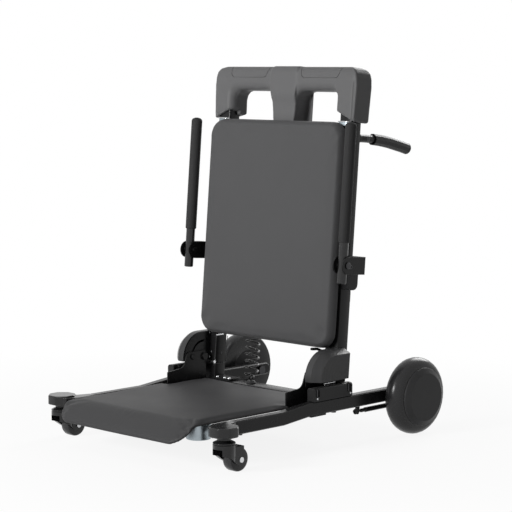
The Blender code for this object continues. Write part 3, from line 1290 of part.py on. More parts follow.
def main():
    clear_scene()
    frame = back_frame()
    build_rail()
    build_beam()
    build_rail_block()
    build_caster_socket()
    build_fork()
    build_caster_wheel()
    build_rear_wheel()
    build_strut()
    build_mast(frame)
    build_upright(frame)
    build_cross_members(frame)
    build_back(frame)
    build_crown(frame)
    build_push_handle(frame)
    build_arm_bracket(frame)
    build_arm(frame)
    build_hinge_plate(frame)
    build_lever(frame)
    build_cover(frame)
    build_pivot_bolt()
    build_seat()
    build_wing()
    build_foot()
    build_power(frame)
    build_cord(frame)
    bpy.context.view_layer.update()


main()
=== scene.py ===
from math import cos, pi, radians, sin, sqrt
import bmesh
import bpy
from mathutils import Matrix, Vector


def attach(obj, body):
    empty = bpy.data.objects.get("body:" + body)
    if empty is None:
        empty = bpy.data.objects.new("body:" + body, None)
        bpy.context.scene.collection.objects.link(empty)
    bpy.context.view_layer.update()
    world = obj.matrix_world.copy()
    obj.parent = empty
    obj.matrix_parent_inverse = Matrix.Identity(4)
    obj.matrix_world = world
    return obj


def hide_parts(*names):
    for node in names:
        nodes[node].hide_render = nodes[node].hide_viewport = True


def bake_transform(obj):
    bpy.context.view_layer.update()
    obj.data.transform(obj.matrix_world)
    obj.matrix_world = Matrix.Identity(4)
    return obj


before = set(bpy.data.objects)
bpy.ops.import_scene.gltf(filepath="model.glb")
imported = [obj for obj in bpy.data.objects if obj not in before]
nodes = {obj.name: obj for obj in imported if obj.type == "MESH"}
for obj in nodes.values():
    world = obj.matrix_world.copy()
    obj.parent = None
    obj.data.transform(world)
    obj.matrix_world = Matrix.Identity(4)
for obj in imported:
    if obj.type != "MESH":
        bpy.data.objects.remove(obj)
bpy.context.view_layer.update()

print("frame loaded:", len(nodes), "parts")


# the view of the photograph
cameraView = {
    "azimuth": 44.5845,
    "elevation": 6.0503,
    "location": (3.32137, -3.30870, 0.96230),
    "lens": 128.87,
    "sensor": 36.0,
}


def linked(name, data):
    made = bpy.data.objects.new(name, data)
    bpy.context.scene.collection.objects.link(made)
    return made


def aimed(made, way):
    # a camera or a lamp that looks along way
    made.rotation_mode = "QUATERNION"
    made.rotation_quaternion = way.to_track_quat("-Z", "Y")
    return made


def makeCamera(view):
    azimuth, elevation = radians(view["azimuth"]), radians(view["elevation"])
    back = Vector((sin(azimuth) * cos(elevation), -cos(azimuth) * cos(elevation), sin(elevation)))
    data = bpy.data.cameras.new("photoCamera")
    data.lens = view["lens"]
    data.sensor_width = view["sensor"]
    camera = aimed(linked("photoCamera", data), -back)
    camera.location = view["location"]
    bpy.context.scene.camera = camera


# node trees
class Value:
    # a socket that can be used in sums: each operator adds its Math node
    def __init__(self, kit, socket):
        self.kit = kit
        self.socket = socket

    def __add__(self, other):
        return self.kit.math("ADD", self, other)

    def __radd__(self, other):
        return self.kit.math("ADD", other, self)

    def __sub__(self, other):
        return self.kit.math("SUBTRACT", self, other)

    def __rsub__(self, other):
        return self.kit.math("SUBTRACT", other, self)

    def __mul__(self, other):
        return self.kit.math("MULTIPLY", self, other)

    def __rmul__(self, other):
        return self.kit.math("MULTIPLY", other, self)


class NodeKit:
    def __init__(self, tree):
        self.tree = tree

    def add(self, kind, settings=None, inputs=None, output=0):
        # any node: its settings first, then a value or a link for each socket
        node = self.tree.nodes.new(kind)
        for name, value in (settings or {}).items():
            if name == "stops":
                ramp = node.color_ramp.elements
                while len(ramp) < len(value):
                    ramp.new(1.0)
                for element, (position, tone) in zip(ramp, value):
                    element.position = position
                    element.color = (tone, tone, tone, 1)
            else:
                setattr(node, name, value)
        for name, value in (inputs or {}).items():
            socket = node.inputs[name]
            if isinstance(value, Value):
                self.tree.links.new(value.socket, socket)
            elif socket.type == "RGBA" and len(value) == 3:
                socket.default_value = (*value, 1)
            else:
                socket.default_value = value
        return Value(self, node.outputs[output]) if node.outputs else node

    def place(self):
        return self.add("ShaderNodeTexCoord", output="Object")

    def math(self, operation, first, second=0.0):
        return self.add("ShaderNodeMath", {"operation": operation}, {0: first, 1: second})

    def seenWhite(self):
        # 1 for rays that see the background itself, or see it in metal or glass
        camera, glossy, clear = [self.add("ShaderNodeLightPath", output=ray) for ray in (
            "Is Camera Ray", "Is Glossy Ray", "Is Transmission Ray")]
        return self.math("MAXIMUM", self.math("MAXIMUM", camera, glossy), clear)

    def noise(self, scale, detail=3.0, roughness=0.55, vector=None):
        return self.add("ShaderNodeTexNoise", None, {
            "Vector": vector or self.place(), "Scale": scale, "Detail": detail,
            "Roughness": roughness}, "Fac")

    def cells(self, scale, feature="F1", vector=None, more=None):
        # small rounded cells: how far each point is from the middle of its own
        return self.add("ShaderNodeTexVoronoi", {"feature": feature}, {
            "Vector": vector or self.place(), "Scale": scale, **(more or {})}, "Distance")

    def ramp(self, value, stops):
        return self.add("ShaderNodeValToRGB", {"stops": stops}, {"Fac": value})

    def tint(self, amount, first, second):
        return self.add("ShaderNodeMix", {"data_type": "RGBA"},
                        {"Factor": amount, 6: first, 7: second}, 2)

    def shade(self, amount, colour, dark, light):
        # the finish's colour, from dark times itself to light times itself
        return self.tint(amount, scaled(colour, dark), scaled(colour, light))

    def mottled(self, amount, settings):
        return self.shade(amount, settings["colour"], 1 - settings["mottle"], 1 + settings["mottle"])

    def bump(self, height, strength, distance, normal=None):
        inputs = {"Height": height, "Strength": strength, "Distance": distance}
        if normal is not None:
            inputs["Normal"] = normal
        return self.add("ShaderNodeBump", None, inputs, "Normal")


def scaled(colour, factor):
    return tuple(channel * factor for channel in colour)


def newMaterial(name, settings, build, constants=None):
    # constants go straight onto the shader, and build gives the colour, roughness and normal
    material = bpy.data.materials.new(name)
    material.use_nodes = True
    tree = material.node_tree
    shader = tree.nodes["Principled BSDF"]
    for socket, value in (constants or {"Specular IOR Level": settings["specular"]}).items():
        shader.inputs[socket].default_value = value
    kit = NodeKit(tree)
    for socket, value in zip(("Base Color", "Roughness", "Normal"), build(kit)):
        tree.links.new(value.socket, shader.inputs[socket])
    return material


# finishes
# lengths in metres, and scales in turns per metre
powderCoat = {"colour": (0.0145, 0.0145, 0.015), "roughness": 0.26, "specular": 0.17,
              "peelScale": 900, "peelDepth": 0.000018, "mottle": 0.18, "dustScale": 26}
powderWear = {"dustGloss": 0.16, "glossDip": 0.08, "peelBump": 0.5}


def makePowderCoat(name, settings, wear=powderWear):
    # sprayed paint: fine orange peel, with a slow change of gloss where hands and dust have been
    def build(kit):
        slow = kit.noise(settings["dustScale"], 4)
        peel = kit.noise(settings["peelScale"], 2)
        return (kit.mottled(slow, settings),
                slow * wear["dustGloss"] + (settings["roughness"] - wear["glossDip"]),
                kit.bump(peel, wear["peelBump"], settings["peelDepth"]))
    return newMaterial(name, settings, build)


mouldedShell = {"colour": (0.050, 0.050, 0.051), "roughness": 0.48, "specular": 0.16,
                "grainScale": 1500, "grainDepth": 0.00007, "mottle": 0.08}
mouldedWear = {"slowScale": 18, "slowGloss": 0.10, "grainGloss": 0.08, "glossDip": 0.09,
               "fineShare": 0.6, "fineHeight": 0.5, "grainBump": 0.45}


def mouldedSkin(kit, settings, grain, height, under=None, wear=mouldedWear):
    # slow changes of tone, slightly shinier on the high spots of the grain
    slow = kit.noise(wear["slowScale"], 3)
    gloss = slow * wear["slowGloss"] + grain * wear["grainGloss"]
    return (kit.mottled(slow, settings),
            gloss + (settings["roughness"] - wear["glossDip"]),
            kit.bump(height, wear["grainBump"], settings["grainDepth"], under))


def makeMoulded(name, settings, wear=mouldedWear):
    # moulded plastic with fine spark-eroded grain
    def build(kit):
        grain = kit.cells(settings["grainScale"])
        fine = kit.noise(settings["grainScale"] * wear["fineShare"], 3)
        return mouldedSkin(kit, settings, grain, grain + fine * wear["fineHeight"])
    return newMaterial(name, settings, build)


coverShell = {"colour": (0.044, 0.044, 0.045), "roughness": 0.34, "specular": 0.24,
              "grainScale": 1400, "grainDepth": 0.00006, "mottle": 0.08,
              "stepCentre": (0, 0.112, 0.168), "stepPitch": 0.0105, "stepDepth": 0.0005,
              "stepBump": 0.35, "stepEdge": [(0.86, 0.0), (0.97, 1.0)]}


def makeCover(name, settings):
    # moulded cover: fine grain, with faint steps that run round its lower rear corner
    def build(kit):
        grain = kit.cells(settings["grainScale"])
        flat = kit.add("ShaderNodeVectorMath", {"operation": "MULTIPLY"},
                       {0: kit.place(), 1: (0, 1, 1)}, "Vector")
        reach = kit.add("ShaderNodeVectorMath", {"operation": "DISTANCE"},
                        {0: flat, 1: settings["stepCentre"]}, "Value")
        wave = kit.math("SINE", reach * (2 * pi / settings["stepPitch"]))
        steps = kit.ramp(wave * 0.5 + 0.5, settings["stepEdge"])
        shallow = kit.bump(steps, settings["stepBump"], settings["stepDepth"])
        return mouldedSkin(kit, settings, grain, grain, shallow)
    return newMaterial(name, settings, build)


gripFoam = {"colour": (0.030, 0.030, 0.0305), "roughness": 0.72, "specular": 0.14,
            "poreScale": 1100, "poreDepth": 0.00018, "poreEdge": [(0.12, 0.0), (0.42, 1.0)], "poreBump": 0.6,
            "slowScale": 30, "slowGloss": 0.12, "glossDip": 0.06, "dark": 0.72, "light": 1.25}


def makeFoam(name, settings):
    # closed-cell foam sleeve: small open pores and a dry surface, with painted shade that darkens the pores
    # where the bump sinks them, over slow random tone
    def build(kit):
        pits = kit.ramp(kit.cells(settings["poreScale"]), settings["poreEdge"])
        slow = kit.noise(settings["slowScale"], 3)
        # painted shade: the pores are darker where the bump sinks them; the slow part is random tone
        return (kit.shade(pits * 0.6 + slow * 0.4, settings["colour"],
                                        settings["dark"], settings["light"]),
                slow * settings["slowGloss"] + (settings["roughness"] - settings["glossDip"]),
                kit.bump(pits, settings["poreBump"], settings["poreDepth"]))
    return newMaterial(name, settings, build)


tyreRubber = {"colour": (0.028, 0.028, 0.029), "roughness": 0.24, "specular": 0.26,
              "grainScale": 700, "grainDepth": 0.000012, "grainBump": 0.35,
              "scuff": 0.25, "scuffScale": 240, "scuffEdge": [(0.50, 0.0), (0.72, 1.0)], "scuffGloss": 0.12,
              "slowScale": 34, "slowGloss": 0.14, "glossDip": 0.08, "dark": 0.95, "light": 1.5}


def makeTyre(name, settings):
    # solid tyre: smooth rubber, dulled a little in slow patches and by fine scuffs
    def build(kit):
        slow = kit.noise(settings["slowScale"], 4)
        scuffs = kit.ramp(kit.noise(settings["scuffScale"], 5, 0.7), settings["scuffEdge"])
        grain = kit.noise(settings["grainScale"], 2)
        gloss = slow * settings["slowGloss"] + scuffs * settings["scuffGloss"]
        return (kit.shade(scuffs * settings["scuff"], settings["colour"],
                                        settings["dark"], settings["light"]),
                gloss + (settings["roughness"] - settings["glossDip"]),
                kit.bump(grain, settings["grainBump"], settings["grainDepth"]))
    return newMaterial(name, settings, build)


padFabric = {"colour": (0.081, 0.081, 0.083), "roughness": 0.62, "specular": 0.13,
             "threadPitch": 0.0013, "threadDepth": 0.00016, "threadBump": 0.5, "mottle": 0.10,
             "sheen": 0.06, "sheenRoughness": 0.5,
             "slowScale": 9, "slowGloss": 0.10, "fineScale": 420, "fineGloss": 0.08, "glossDip": 0.08,
             "rippleScale": 60, "rippleBump": 0.25, "rippleDepth": 0.0004}
waveLength = 0.3142  # of a wave texture at scale 1


def makePadFabric(name, settings):
    # coated upholstery cloth: a fine basket weave under a matt skin, with slow uneven tone, and painted shade
    # in the weave's grooves and the fine grain's low spots, darker where the bump sinks them
    def build(kit):
        place = kit.place()
        thread = {"Vector": place, "Scale": waveLength / settings["threadPitch"], "Distortion": 1.2,
                  "Detail": 2.0, "Detail Scale": 2.0}
        across, along = [kit.add("ShaderNodeTexWave", {"bands_direction": way, "wave_profile": "SIN"},
                                 thread, "Fac") for way in "XZ"]
        weave = across * along
        slow = kit.noise(settings["slowScale"], 4, vector=place)
        fine = kit.noise(settings["fineScale"], 3, vector=place)
        ripple = kit.noise(settings["rippleScale"], 3, vector=place)
        gloss = slow * settings["slowGloss"] + fine * settings["fineGloss"]
        soft = kit.bump(ripple, settings["rippleBump"], settings["rippleDepth"])
        # painted shade: the weave's grooves and the fine grain's low spots are darker where the bump sinks
        # them; the slow part is random tone
        return (kit.mottled(slow * 0.5 + fine * 0.25 + weave * 0.25, settings),
                gloss + (settings["roughness"] - settings["glossDip"]),
                kit.bump(weave + fine * 0.4, settings["threadBump"], settings["threadDepth"], soft))
    return newMaterial(name, settings, build, {
        "Specular IOR Level": settings["specular"], "Sheen Weight": settings["sheen"],
        "Sheen Roughness": settings["sheenRoughness"]})


seatFabric = {"colour": (0.043, 0.043, 0.0442), "roughness": 0.50, "specular": 0.16, "mottle": 0.10,
              "pebbleScale": 620, "pebbleDepth": 0.00013, "pebbleBump": 0.5, "pebbleGloss": 0.10,
              "creaseShare": 0.5, "slowScale": 7, "slowGloss": 0.14, "glossDip": 0.10}


def makeSeatFabric(name, settings):
    # wipe-clean seat skin: pebbled vinyl, a little shinier where it is sat on, with painted shade that
    # darkens the creases where the bump sinks them
    def build(kit):
        place = kit.place()
        pebbles = kit.cells(settings["pebbleScale"], "SMOOTH_F1", place, {"Smoothness": 0.6})
        creases = kit.noise(settings["pebbleScale"] * settings["creaseShare"], 4, vector=place)
        slow = kit.noise(settings["slowScale"], 3, vector=place)
        gloss = slow * settings["slowGloss"] + pebbles * settings["pebbleGloss"]
        # painted shade: the creases are darker where the bump sinks them; the slow part is random tone
        return (kit.mottled(slow * 0.7 + creases * 0.3, settings),
                gloss + (settings["roughness"] - settings["glossDip"]),
                kit.bump(pebbles + creases * 0.4, settings["pebbleBump"], settings["pebbleDepth"]))
    return newMaterial(name, settings, build)


brightMetal = {"colour": (0.62, 0.63, 0.64), "roughness": 0.24, "brushScale": 1400, "brushDepth": 0.00002}
paleMetal = {"colour": (0.36, 0.41, 0.44), "roughness": 0.33, "brushScale": 900, "brushDepth": 0.00002}
darkMetal = {"colour": (0.050, 0.050, 0.052), "roughness": 0.30, "brushScale": 1200, "brushDepth": 0.00002}
metalWear = {"tarnishScale": 70, "tarnishEdge": [(0.35, 0.0), (0.75, 1.0)], "tarnish": 0.5, "dark": 0.62,
             "tarnishGloss": 0.10, "brushGloss": 0.08, "glossDip": 0.08, "brushBump": 0.3}


def makeMetal(name, settings, wear=metalWear):
    # plated steel: fine machining marks and faint tarnish
    def build(kit):
        marks = kit.noise(settings["brushScale"], 2)
        tarnish = kit.noise(wear["tarnishScale"], 4)
        amount = kit.ramp(tarnish, wear["tarnishEdge"]) * wear["tarnish"]
        gloss = marks * wear["brushGloss"] + tarnish * wear["tarnishGloss"]
        return (kit.shade(amount, settings["colour"], 1, wear["dark"]),
                gloss + (settings["roughness"] - wear["glossDip"]),
                kit.bump(marks, wear["brushBump"], settings["brushDepth"]))
    return newMaterial(name, settings, build, {"Metallic": 1.0})


armPaint = {"colour": (0.018, 0.018, 0.0185), "roughness": 0.15, "specular": 0.36,
            "peelScale": 600, "peelDepth": 0.000008, "mottle": 0.12, "dustScale": 30}
handleGrip = {"colour": (0.020, 0.020, 0.0205), "roughness": 0.42, "specular": 0.20,
              "grainScale": 1500, "grainDepth": 0.00005, "mottle": 0.06}
glossPaint = {"colour": (0.012, 0.012, 0.0125), "roughness": 0.13, "specular": 0.36,
              "peelScale": 700, "peelDepth": 0.000010, "mottle": 0.2, "dustScale": 40}
cordSkin = {"colour": (0.016, 0.016, 0.016), "roughness": 0.26, "specular": 0.40,
            "peelScale": 1600, "peelDepth": 0.00002, "mottle": 0.15, "dustScale": 60}
crownShell = {"colour": (0.126, 0.126, 0.128), "roughness": 0.46, "specular": 0.16,
              "grainScale": 1500, "grainDepth": 0.00006, "mottle": 0.05}
wheelShell = {"colour": (0.040, 0.040, 0.041), "roughness": 0.46, "specular": 0.16,
              "grainScale": 1300, "grainDepth": 0.00006, "mottle": 0.08}
satinPaint = {"colour": (0.020, 0.020, 0.0205), "roughness": 0.40, "specular": 0.17,
              "peelScale": 900, "peelDepth": 0.00005, "mottle": 0.16, "dustScale": 24}

finishes = {name: make(name, settings) for name, make, settings in (
    ("frameBlack", makePowderCoat, powderCoat),
    ("satinBlack", makePowderCoat, satinPaint),
    ("glossBlack", makePowderCoat, glossPaint),
    ("armBlack", makePowderCoat, armPaint),
    ("handleBlack", makeMoulded, handleGrip),
    ("cordBlack", makePowderCoat, cordSkin),
    ("mouldedBlack", makeMoulded, mouldedShell),
    ("crownGrey", makeMoulded, crownShell),
    ("coverGrey", makeCover, coverShell),
    ("wheelGrey", makeMoulded, wheelShell),
    ("gripFoam", makeFoam, gripFoam),
    ("tyreRubber", makeTyre, tyreRubber),
    ("padFabric", makePadFabric, padFabric),
    ("seatFabric", makeSeatFabric, seatFabric),
    ("brightSteel", makeMetal, brightMetal),
    ("paleMetal", makeMetal, paleMetal),
    ("darkSteel", makeMetal, darkMetal),
)}
print("finishes made:", len(finishes))


# places
# the back leans: its own frame has x across, depth behind the uprights' middle plane, height up them
lean = {"angle": radians(4.8), "foot": 0.1132}
hands = ((1, "right"), (-1, "left"))  # the sign of x on each side
leanMatrix = Matrix.Translation((0, lean["foot"], 0)) @ Matrix.Rotation(-lean["angle"], 4, "X")


def leanPoint(x, depth, height):
    return leanMatrix @ Vector((x, depth, height))


# mesh tools
def modified(source, kind, **settings):
    # a modifier of this kind, with its settings
    step = source.modifiers.new(kind.lower(), kind)
    for name, value in settings.items():
        setattr(step, name, value)
    return step


def meshOf(source):
    # the mesh that an object's modifiers or curve make, and the object goes
    bpy.context.view_layer.update()
    graph = bpy.context.evaluated_depsgraph_get()
    mesh = bpy.data.meshes.new_from_object(source.evaluated_get(graph))
    bpy.data.objects.remove(source, do_unlink=True)
    return mesh


def welded(mesh, matrix=Matrix.Identity(4)):
    work = bmesh.new()
    work.from_mesh(mesh)
    bmesh.ops.remove_doubles(work, verts=work.verts, dist=0.000005)
    bmesh.ops.transform(work, matrix=matrix, verts=work.verts)
    bmesh.ops.recalc_face_normals(work, faces=work.faces)
    work.to_mesh(mesh)
    work.free()
    return mesh


def piece(name, mesh, finish, body, sharp=40):
    # a finished piece, placed in the frame, riding on its body
    mesh.materials.clear()
    mesh.materials.append(finishes[finish])
    mesh.shade_smooth()
    mesh.set_sharp_from_angle(angle=radians(sharp))
    made = linked(name, mesh)
    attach(made, body)
    return made


def addLine(curve, points, closed=False):
    spline = curve.splines.new("POLY")
    spline.points.add(len(points) - 1)
    for point, place in zip(spline.points, points):
        point.co = (*place, 1)
    spline.use_cyclic_u = closed


def tubeMesh(points, radius):
    curve = bpy.data.curves.new("tube", "CURVE")
    curve.dimensions = "3D"
    curve.bevel_depth = radius
    curve.bevel_resolution = 2
    curve.use_fill_caps = True
    addLine(curve, points)
    return welded(meshOf(linked("tube", curve)))


def turnedMesh(profile, axis, centre, steps=32):
    # (radius, height) points turned round an axis through centre
    data = bpy.data.meshes.new("turned")
    data.from_pydata([(r, 0, h) for r, h in profile], [(i, i + 1) for i in range(len(profile) - 1)], [])
    source = linked("turned", data)
    modified(source, "SCREW", steps=steps, render_steps=steps, use_merge_vertices=True,
             merge_threshold=0.00001)
    turn = Vector((0, 0, 1)).rotation_difference(Vector(axis)).to_matrix().to_4x4()
    return welded(meshOf(source), Matrix.Translation(centre) @ turn)


def roundedSlab(half, radius, steps=6):
    # outline of a rectangle (half width, half height) with round corners
    points = []
    for turn, (sx, sy) in enumerate(((1, -1), (1, 1), (-1, 1), (-1, -1))):
        centre = (sx * (half[0] - radius), sy * (half[1] - radius))
        for k in range(steps + 1):
            a = -pi / 2 + turn * pi / 2 + k * pi / 2 / steps
            points.append((centre[0] + radius * cos(a), centre[1] + radius * sin(a)))
    return points


def slabMesh(outlines, thickness, edge=0.0, steps=3):
    # a flat outline in XY with thickness along Z and rounded edges
    curve = bpy.data.curves.new("slab", "CURVE")
    curve.dimensions = "2D"
    curve.fill_mode = "BOTH"
    curve.extrude = thickness / 2 - edge
    curve.bevel_depth = edge
    curve.bevel_resolution = steps
    curve.offset = -edge
    for outline in outlines:
        addLine(curve, [(u, v, 0) for u, v in outline], closed=True)
    return welded(meshOf(linked("slab", curve)))


uprightTurn = Matrix(((1, 0, 0, 0), (0, 0, 1, 0), (0, 1, 0, 0), (0, 0, 0, 1)))
sidewaysTurn = Matrix(((0, 0, 1, 0), (1, 0, 0, 0), (0, 1, 0, 0), (0, 0, 0, 1)))


def upright(mesh, place=Matrix.Identity(4)):
    # an outline drawn flat stands up: its own Y becomes height, and its thickness runs front to back
    mesh.transform(place @ uprightTurn)
    return mesh


def sideways(mesh):
    # an outline drawn in depth and height, with its thickness across
    mesh.transform(sidewaysTurn)
    return mesh


def eased(points, radius, steps):
    # closed outline with each corner drawn as a short curve that starts radius before it
    outline = []
    for k, point in enumerate(points):
        corner = Vector(point)
        before = Vector(points[k - 1]) - corner
        after = Vector(points[(k + 1) % len(points)]) - corner
        first = corner + before.normalized() * min(radius, before.length * 0.45)
        last = corner + after.normalized() * min(radius, after.length * 0.45)
        for step in range(steps + 1):
            t = step / steps
            outline.append(first.lerp(corner, t).lerp(corner.lerp(last, t), t))
    return outline


def loftMesh(outlines):
    # a closed solid through outlines with as many points each: (depth, [(x, z), ...])
    work = bmesh.new()
    rings = [[work.verts.new((x, y, z)) for x, z in outline] for y, outline in outlines]
    count = len(rings[0])
    for near, far in zip(rings, rings[1:]):
        for k in range(count):
            work.faces.new((near[k], near[(k + 1) % count], far[(k + 1) % count], far[k]))
    work.faces.new(rings[0])
    work.faces.new(rings[-1])
    mesh = bpy.data.meshes.new("loft")
    work.to_mesh(mesh)
    work.free()
    return welded(mesh)


def remeshed(mesh, voxel, smoothing=0):
    source = linked("remesh", mesh)
    modified(source, "REMESH", mode="VOXEL", voxel_size=voxel)
    if smoothing:
        modified(source, "SMOOTH", factor=0.5, iterations=smoothing)
    return meshOf(source)


def copyOf(*names):
    # a loose mesh that joins copies of frame parts, welded
    work = bmesh.new()
    for name in names:
        work.from_mesh(nodes[name].data)
    bmesh.ops.remove_doubles(work, verts=work.verts, dist=0.00001)
    mesh = bpy.data.meshes.new("copy")
    work.to_mesh(mesh)
    work.free()
    return mesh


def corners(mesh):
    xs, ys, zs = zip(*(vert.co for vert in mesh.vertices))
    return Vector((min(xs), min(ys), min(zs))), Vector((max(xs), max(ys), max(zs)))


def fitted(mesh, low, high):
    # scaled and moved so that its corners come to low and high
    nowLow, nowHigh = corners(mesh)
    factor = Vector([(h - l) / (nh - nl) for l, h, nl, nh in zip(low, high, nowLow, nowHigh)])
    mesh.transform(Matrix.Translation(low) @ Matrix.Diagonal((*factor, 1)) @ Matrix.Translation(-nowLow))
    return mesh


def carved(mesh, operation, tool):
    # a Boolean of two loose meshes
    source = linked("carving", mesh.copy())
    other = linked("tool", tool.copy())
    modified(source, "BOOLEAN", operation=operation, solver="MANIFOLD", object=other)
    made = meshOf(source)
    bpy.data.objects.remove(other, do_unlink=True)
    return made


# parts kept from the frame
# each gets its finish, welded corners and small rounded edges: kind, edge radius
nodeLooks = {
    "frameBlack": {
        "side_rail": 0.0012, "cross_beam": 0.0010, "lift_mast": 0.0008, "rear_strut": 0.0003,
        "upright": 0.0022, "lift_yoke": 0.0008, "lower_bar": 0.0008, "push_handle": 0.0005,
        "arm_bracket": 0.0010, "hinge_plate": 0.0005, "seat_pivot_bolt": 0.0005,
        "release_lever": 0.0004, "seat_pan": 0.0006, "seat_wing": 0.0006,
    },
    "glossBlack": {"caster_socket": 0.0012, "caster_fork": 0.0007},
    "satinBlack": {"rail_block": 0.0010},
    "armBlack": {"arm_tube": 0.0004},
    "handleBlack": {"push_grip": 0.0005},
    "cordBlack": {"curly_cord": 0},
    "mouldedBlack": {"cord_fitting": 0.0005, "back_board": 0.0008, "power_box": 0.0010},
    "crownGrey": {"crown": 0, "crown_grip": 0},
    "coverGrey": {"hinge_cover": 0.0016},
    "wheelGrey": {"rear_hub": 0.0010},
    "gripFoam": {"arm_grip": 0.0004},
    "tyreRubber": {"caster_wheel": 0, "rear_tyre": 0},
    "padFabric": {"back_pad": 0},
    "seatFabric": {"seat_pad": 0},
    "brightSteel": {"caster_bolt": 0.0004},
    "darkSteel": {"rear_axle": 0.0004, "arm_bolt": 0.0004},
    "paleMetal": {"seat_foot": 0.0008},
}
nodeFolds = {"rear_hub": 6, "hinge_cover": 22}  # degrees, on the parts with shallow steps
dressing = {"weld": 0.00001, "flat": 0.6, "fold": 30, "segments": 2}


def makeEdgeShading():
    # geometry nodes: drops the stored normals, and shades smooth except over edges sharper than Angle
    group = bpy.data.node_groups.new("edgeShading", "GeometryNodeTree")
    group.interface.new_socket("Geometry", in_out="INPUT", socket_type="NodeSocketGeometry")
    angle = group.interface.new_socket("Angle", in_out="INPUT", socket_type="NodeSocketFloat")
    group.interface.new_socket("Geometry", in_out="OUTPUT", socket_type="NodeSocketGeometry")
    kit = NodeKit(group)
    bare = kit.add("GeometryNodeRemoveAttribute", None, {
        "Geometry": kit.add("NodeGroupInput", output="Geometry"), "Name": "custom_normal"})
    soft = kit.add("GeometryNodeSetShadeSmooth", {"domain": "FACE"}, {
        "Geometry": bare, "Shade Smooth": True})
    sharp = kit.add("FunctionNodeCompare", {"data_type": "FLOAT", "operation": "GREATER_THAN"}, {
        0: kit.add("GeometryNodeInputMeshEdgeAngle", output="Unsigned Angle"),
        1: kit.add("NodeGroupInput", output="Angle")})
    edged = kit.add("GeometryNodeSetShadeSmooth", {"domain": "EDGE"}, {
        "Geometry": soft, "Selection": sharp, "Shade Smooth": False})
    kit.add("NodeGroupOutput", None, {"Geometry": edged})
    return group, angle.identifier


edgeShading, angleInput = makeEdgeShading()


def dressNode(node, finish, edge, fold):
    node.data.materials.clear()
    node.data.materials.append(finishes[finish])
    modified(node, "WELD", merge_threshold=dressing["weld"])
    if edge:
        modified(node, "DECIMATE", decimate_type="DISSOLVE", angle_limit=radians(dressing["flat"]))
    shading = modified(node, "NODES", node_group=edgeShading)
    shading[angleInput] = radians(fold)
    if edge:
        modified(node, "BEVEL", width=edge, segments=dressing["segments"], limit_method="ANGLE",
                 angle_limit=radians(fold), harden_normals=True)


def dressFrame():
    dressed = 0
    for finish, kinds in nodeLooks.items():
        for kind, edge in kinds.items():
            for name in (kind, kind + "_right", kind + "_left"):
                if name in nodes:
                    dressNode(nodes[name], finish, edge, nodeFolds.get(kind, dressing["fold"]))
                    dressed += 1
    print("frame dressed:", dressed, "parts")


# curly cord
curlyCord = {
    "x": -0.082, "depth": 0.002,
    "bottom": 0.1165, "top": 0.3157, "stub": 0.006,
    "coilRadius": 0.0177, "wire": 0.0046,
    "turns": 10.5, "leadTurns": 0.75, "pointsPerTurn": 24,
}


def cordRoute(cord):
    # straight out of the fitting, widening into the coil, and back to the middle at the gland
    points = [leanPoint(cord["x"], cord["depth"], cord["bottom"])]
    low, high = cord["bottom"] + cord["stub"], cord["top"] - cord["stub"]
    count = int(cord["turns"] * cord["pointsPerTurn"])
    for k in range(count + 1):
        t = k / count
        lead = min(1.0, min(t, 1 - t) * cord["turns"] / cord["leadTurns"])
        radius = cord["coilRadius"] * sin(lead * pi / 2)
        angle = 2 * pi * cord["turns"] * t
        points.append(leanPoint(cord["x"] + radius * cos(angle), cord["depth"] + radius * sin(angle),
                                low + (high - low) * t))
    points.append(leanPoint(cord["x"], cord["depth"], cord["top"]))
    return points


def makeCurlyCord(cord):
    route = cordRoute(cord)
    mesh = tubeMesh(route, cord["wire"] / 2)
    mesh.materials.append(finishes["cordBlack"])
    mesh.shade_smooth()
    made = linked("coiledCord", mesh)
    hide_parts("curly_cord")
    length = sum((b - a).length for a, b in zip(route, route[1:]))
    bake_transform(made)
    print("curly cord:", round(length, 3), "m")


# cushions
backPad = {
    "half": (0.2350, 0.2835), "middleHeight": 0.5232, "front": -0.0550, "rear": -0.0276,
    "corner": 0.045, "edge": 0.0090, "roll": 0.013, "rim": 0.42,
    "voxel": 0.0050, "pressure": 4.0, "cap": 0.0030, "frames": 20, "held": 0.004, "smoothing": 3,
    "low": (-0.2380, -0.0600, 0.2345), "high": (0.2390, -0.0273, 0.8110),
}
clothFeel = {
    "quality": 4, "mass": 0.3, "tension_stiffness": 12, "compression_stiffness": 12,
    "bending_stiffness": 0.6, "use_pressure": True,
}


def swell(mesh, settings, pinned):
    # cloth under air pressure, held where pinned says, with no point moving past the cap
    source = linked("swelling", mesh)
    group = source.vertex_groups.new(name="held")
    held = [vert.index for vert in mesh.vertices if pinned(vert.co)]
    group.add(held, 1.0, "REPLACE")
    rest = [vert.co.copy() for vert in mesh.vertices]
    cloth = source.modifiers.new("cloth", "CLOTH")
    for name, value in clothFeel.items():
        setattr(cloth.settings, name, value)
    cloth.settings.uniform_pressure_force = settings["pressure"]
    cloth.settings.effector_weights.gravity = 0
    cloth.settings.vertex_group_mass = "held"
    scene = bpy.context.scene
    for step in range(1, settings["frames"] + 1):
        scene.frame_set(step)
    swollen = meshOf(source)
    for vert, start in zip(swollen.vertices, rest):
        move = vert.co - start
        if move.length > settings["cap"]:
            vert.co = start + move.normalized() * settings["cap"]
    scene.frame_set(1)
    return swollen


def smoothed(mesh, iterations):
    source = linked("smoothing", mesh)
    modified(source, "SMOOTH", factor=0.5, iterations=iterations)
    modified(source, "SUBSURF", levels=1, render_levels=1)
    return meshOf(source)


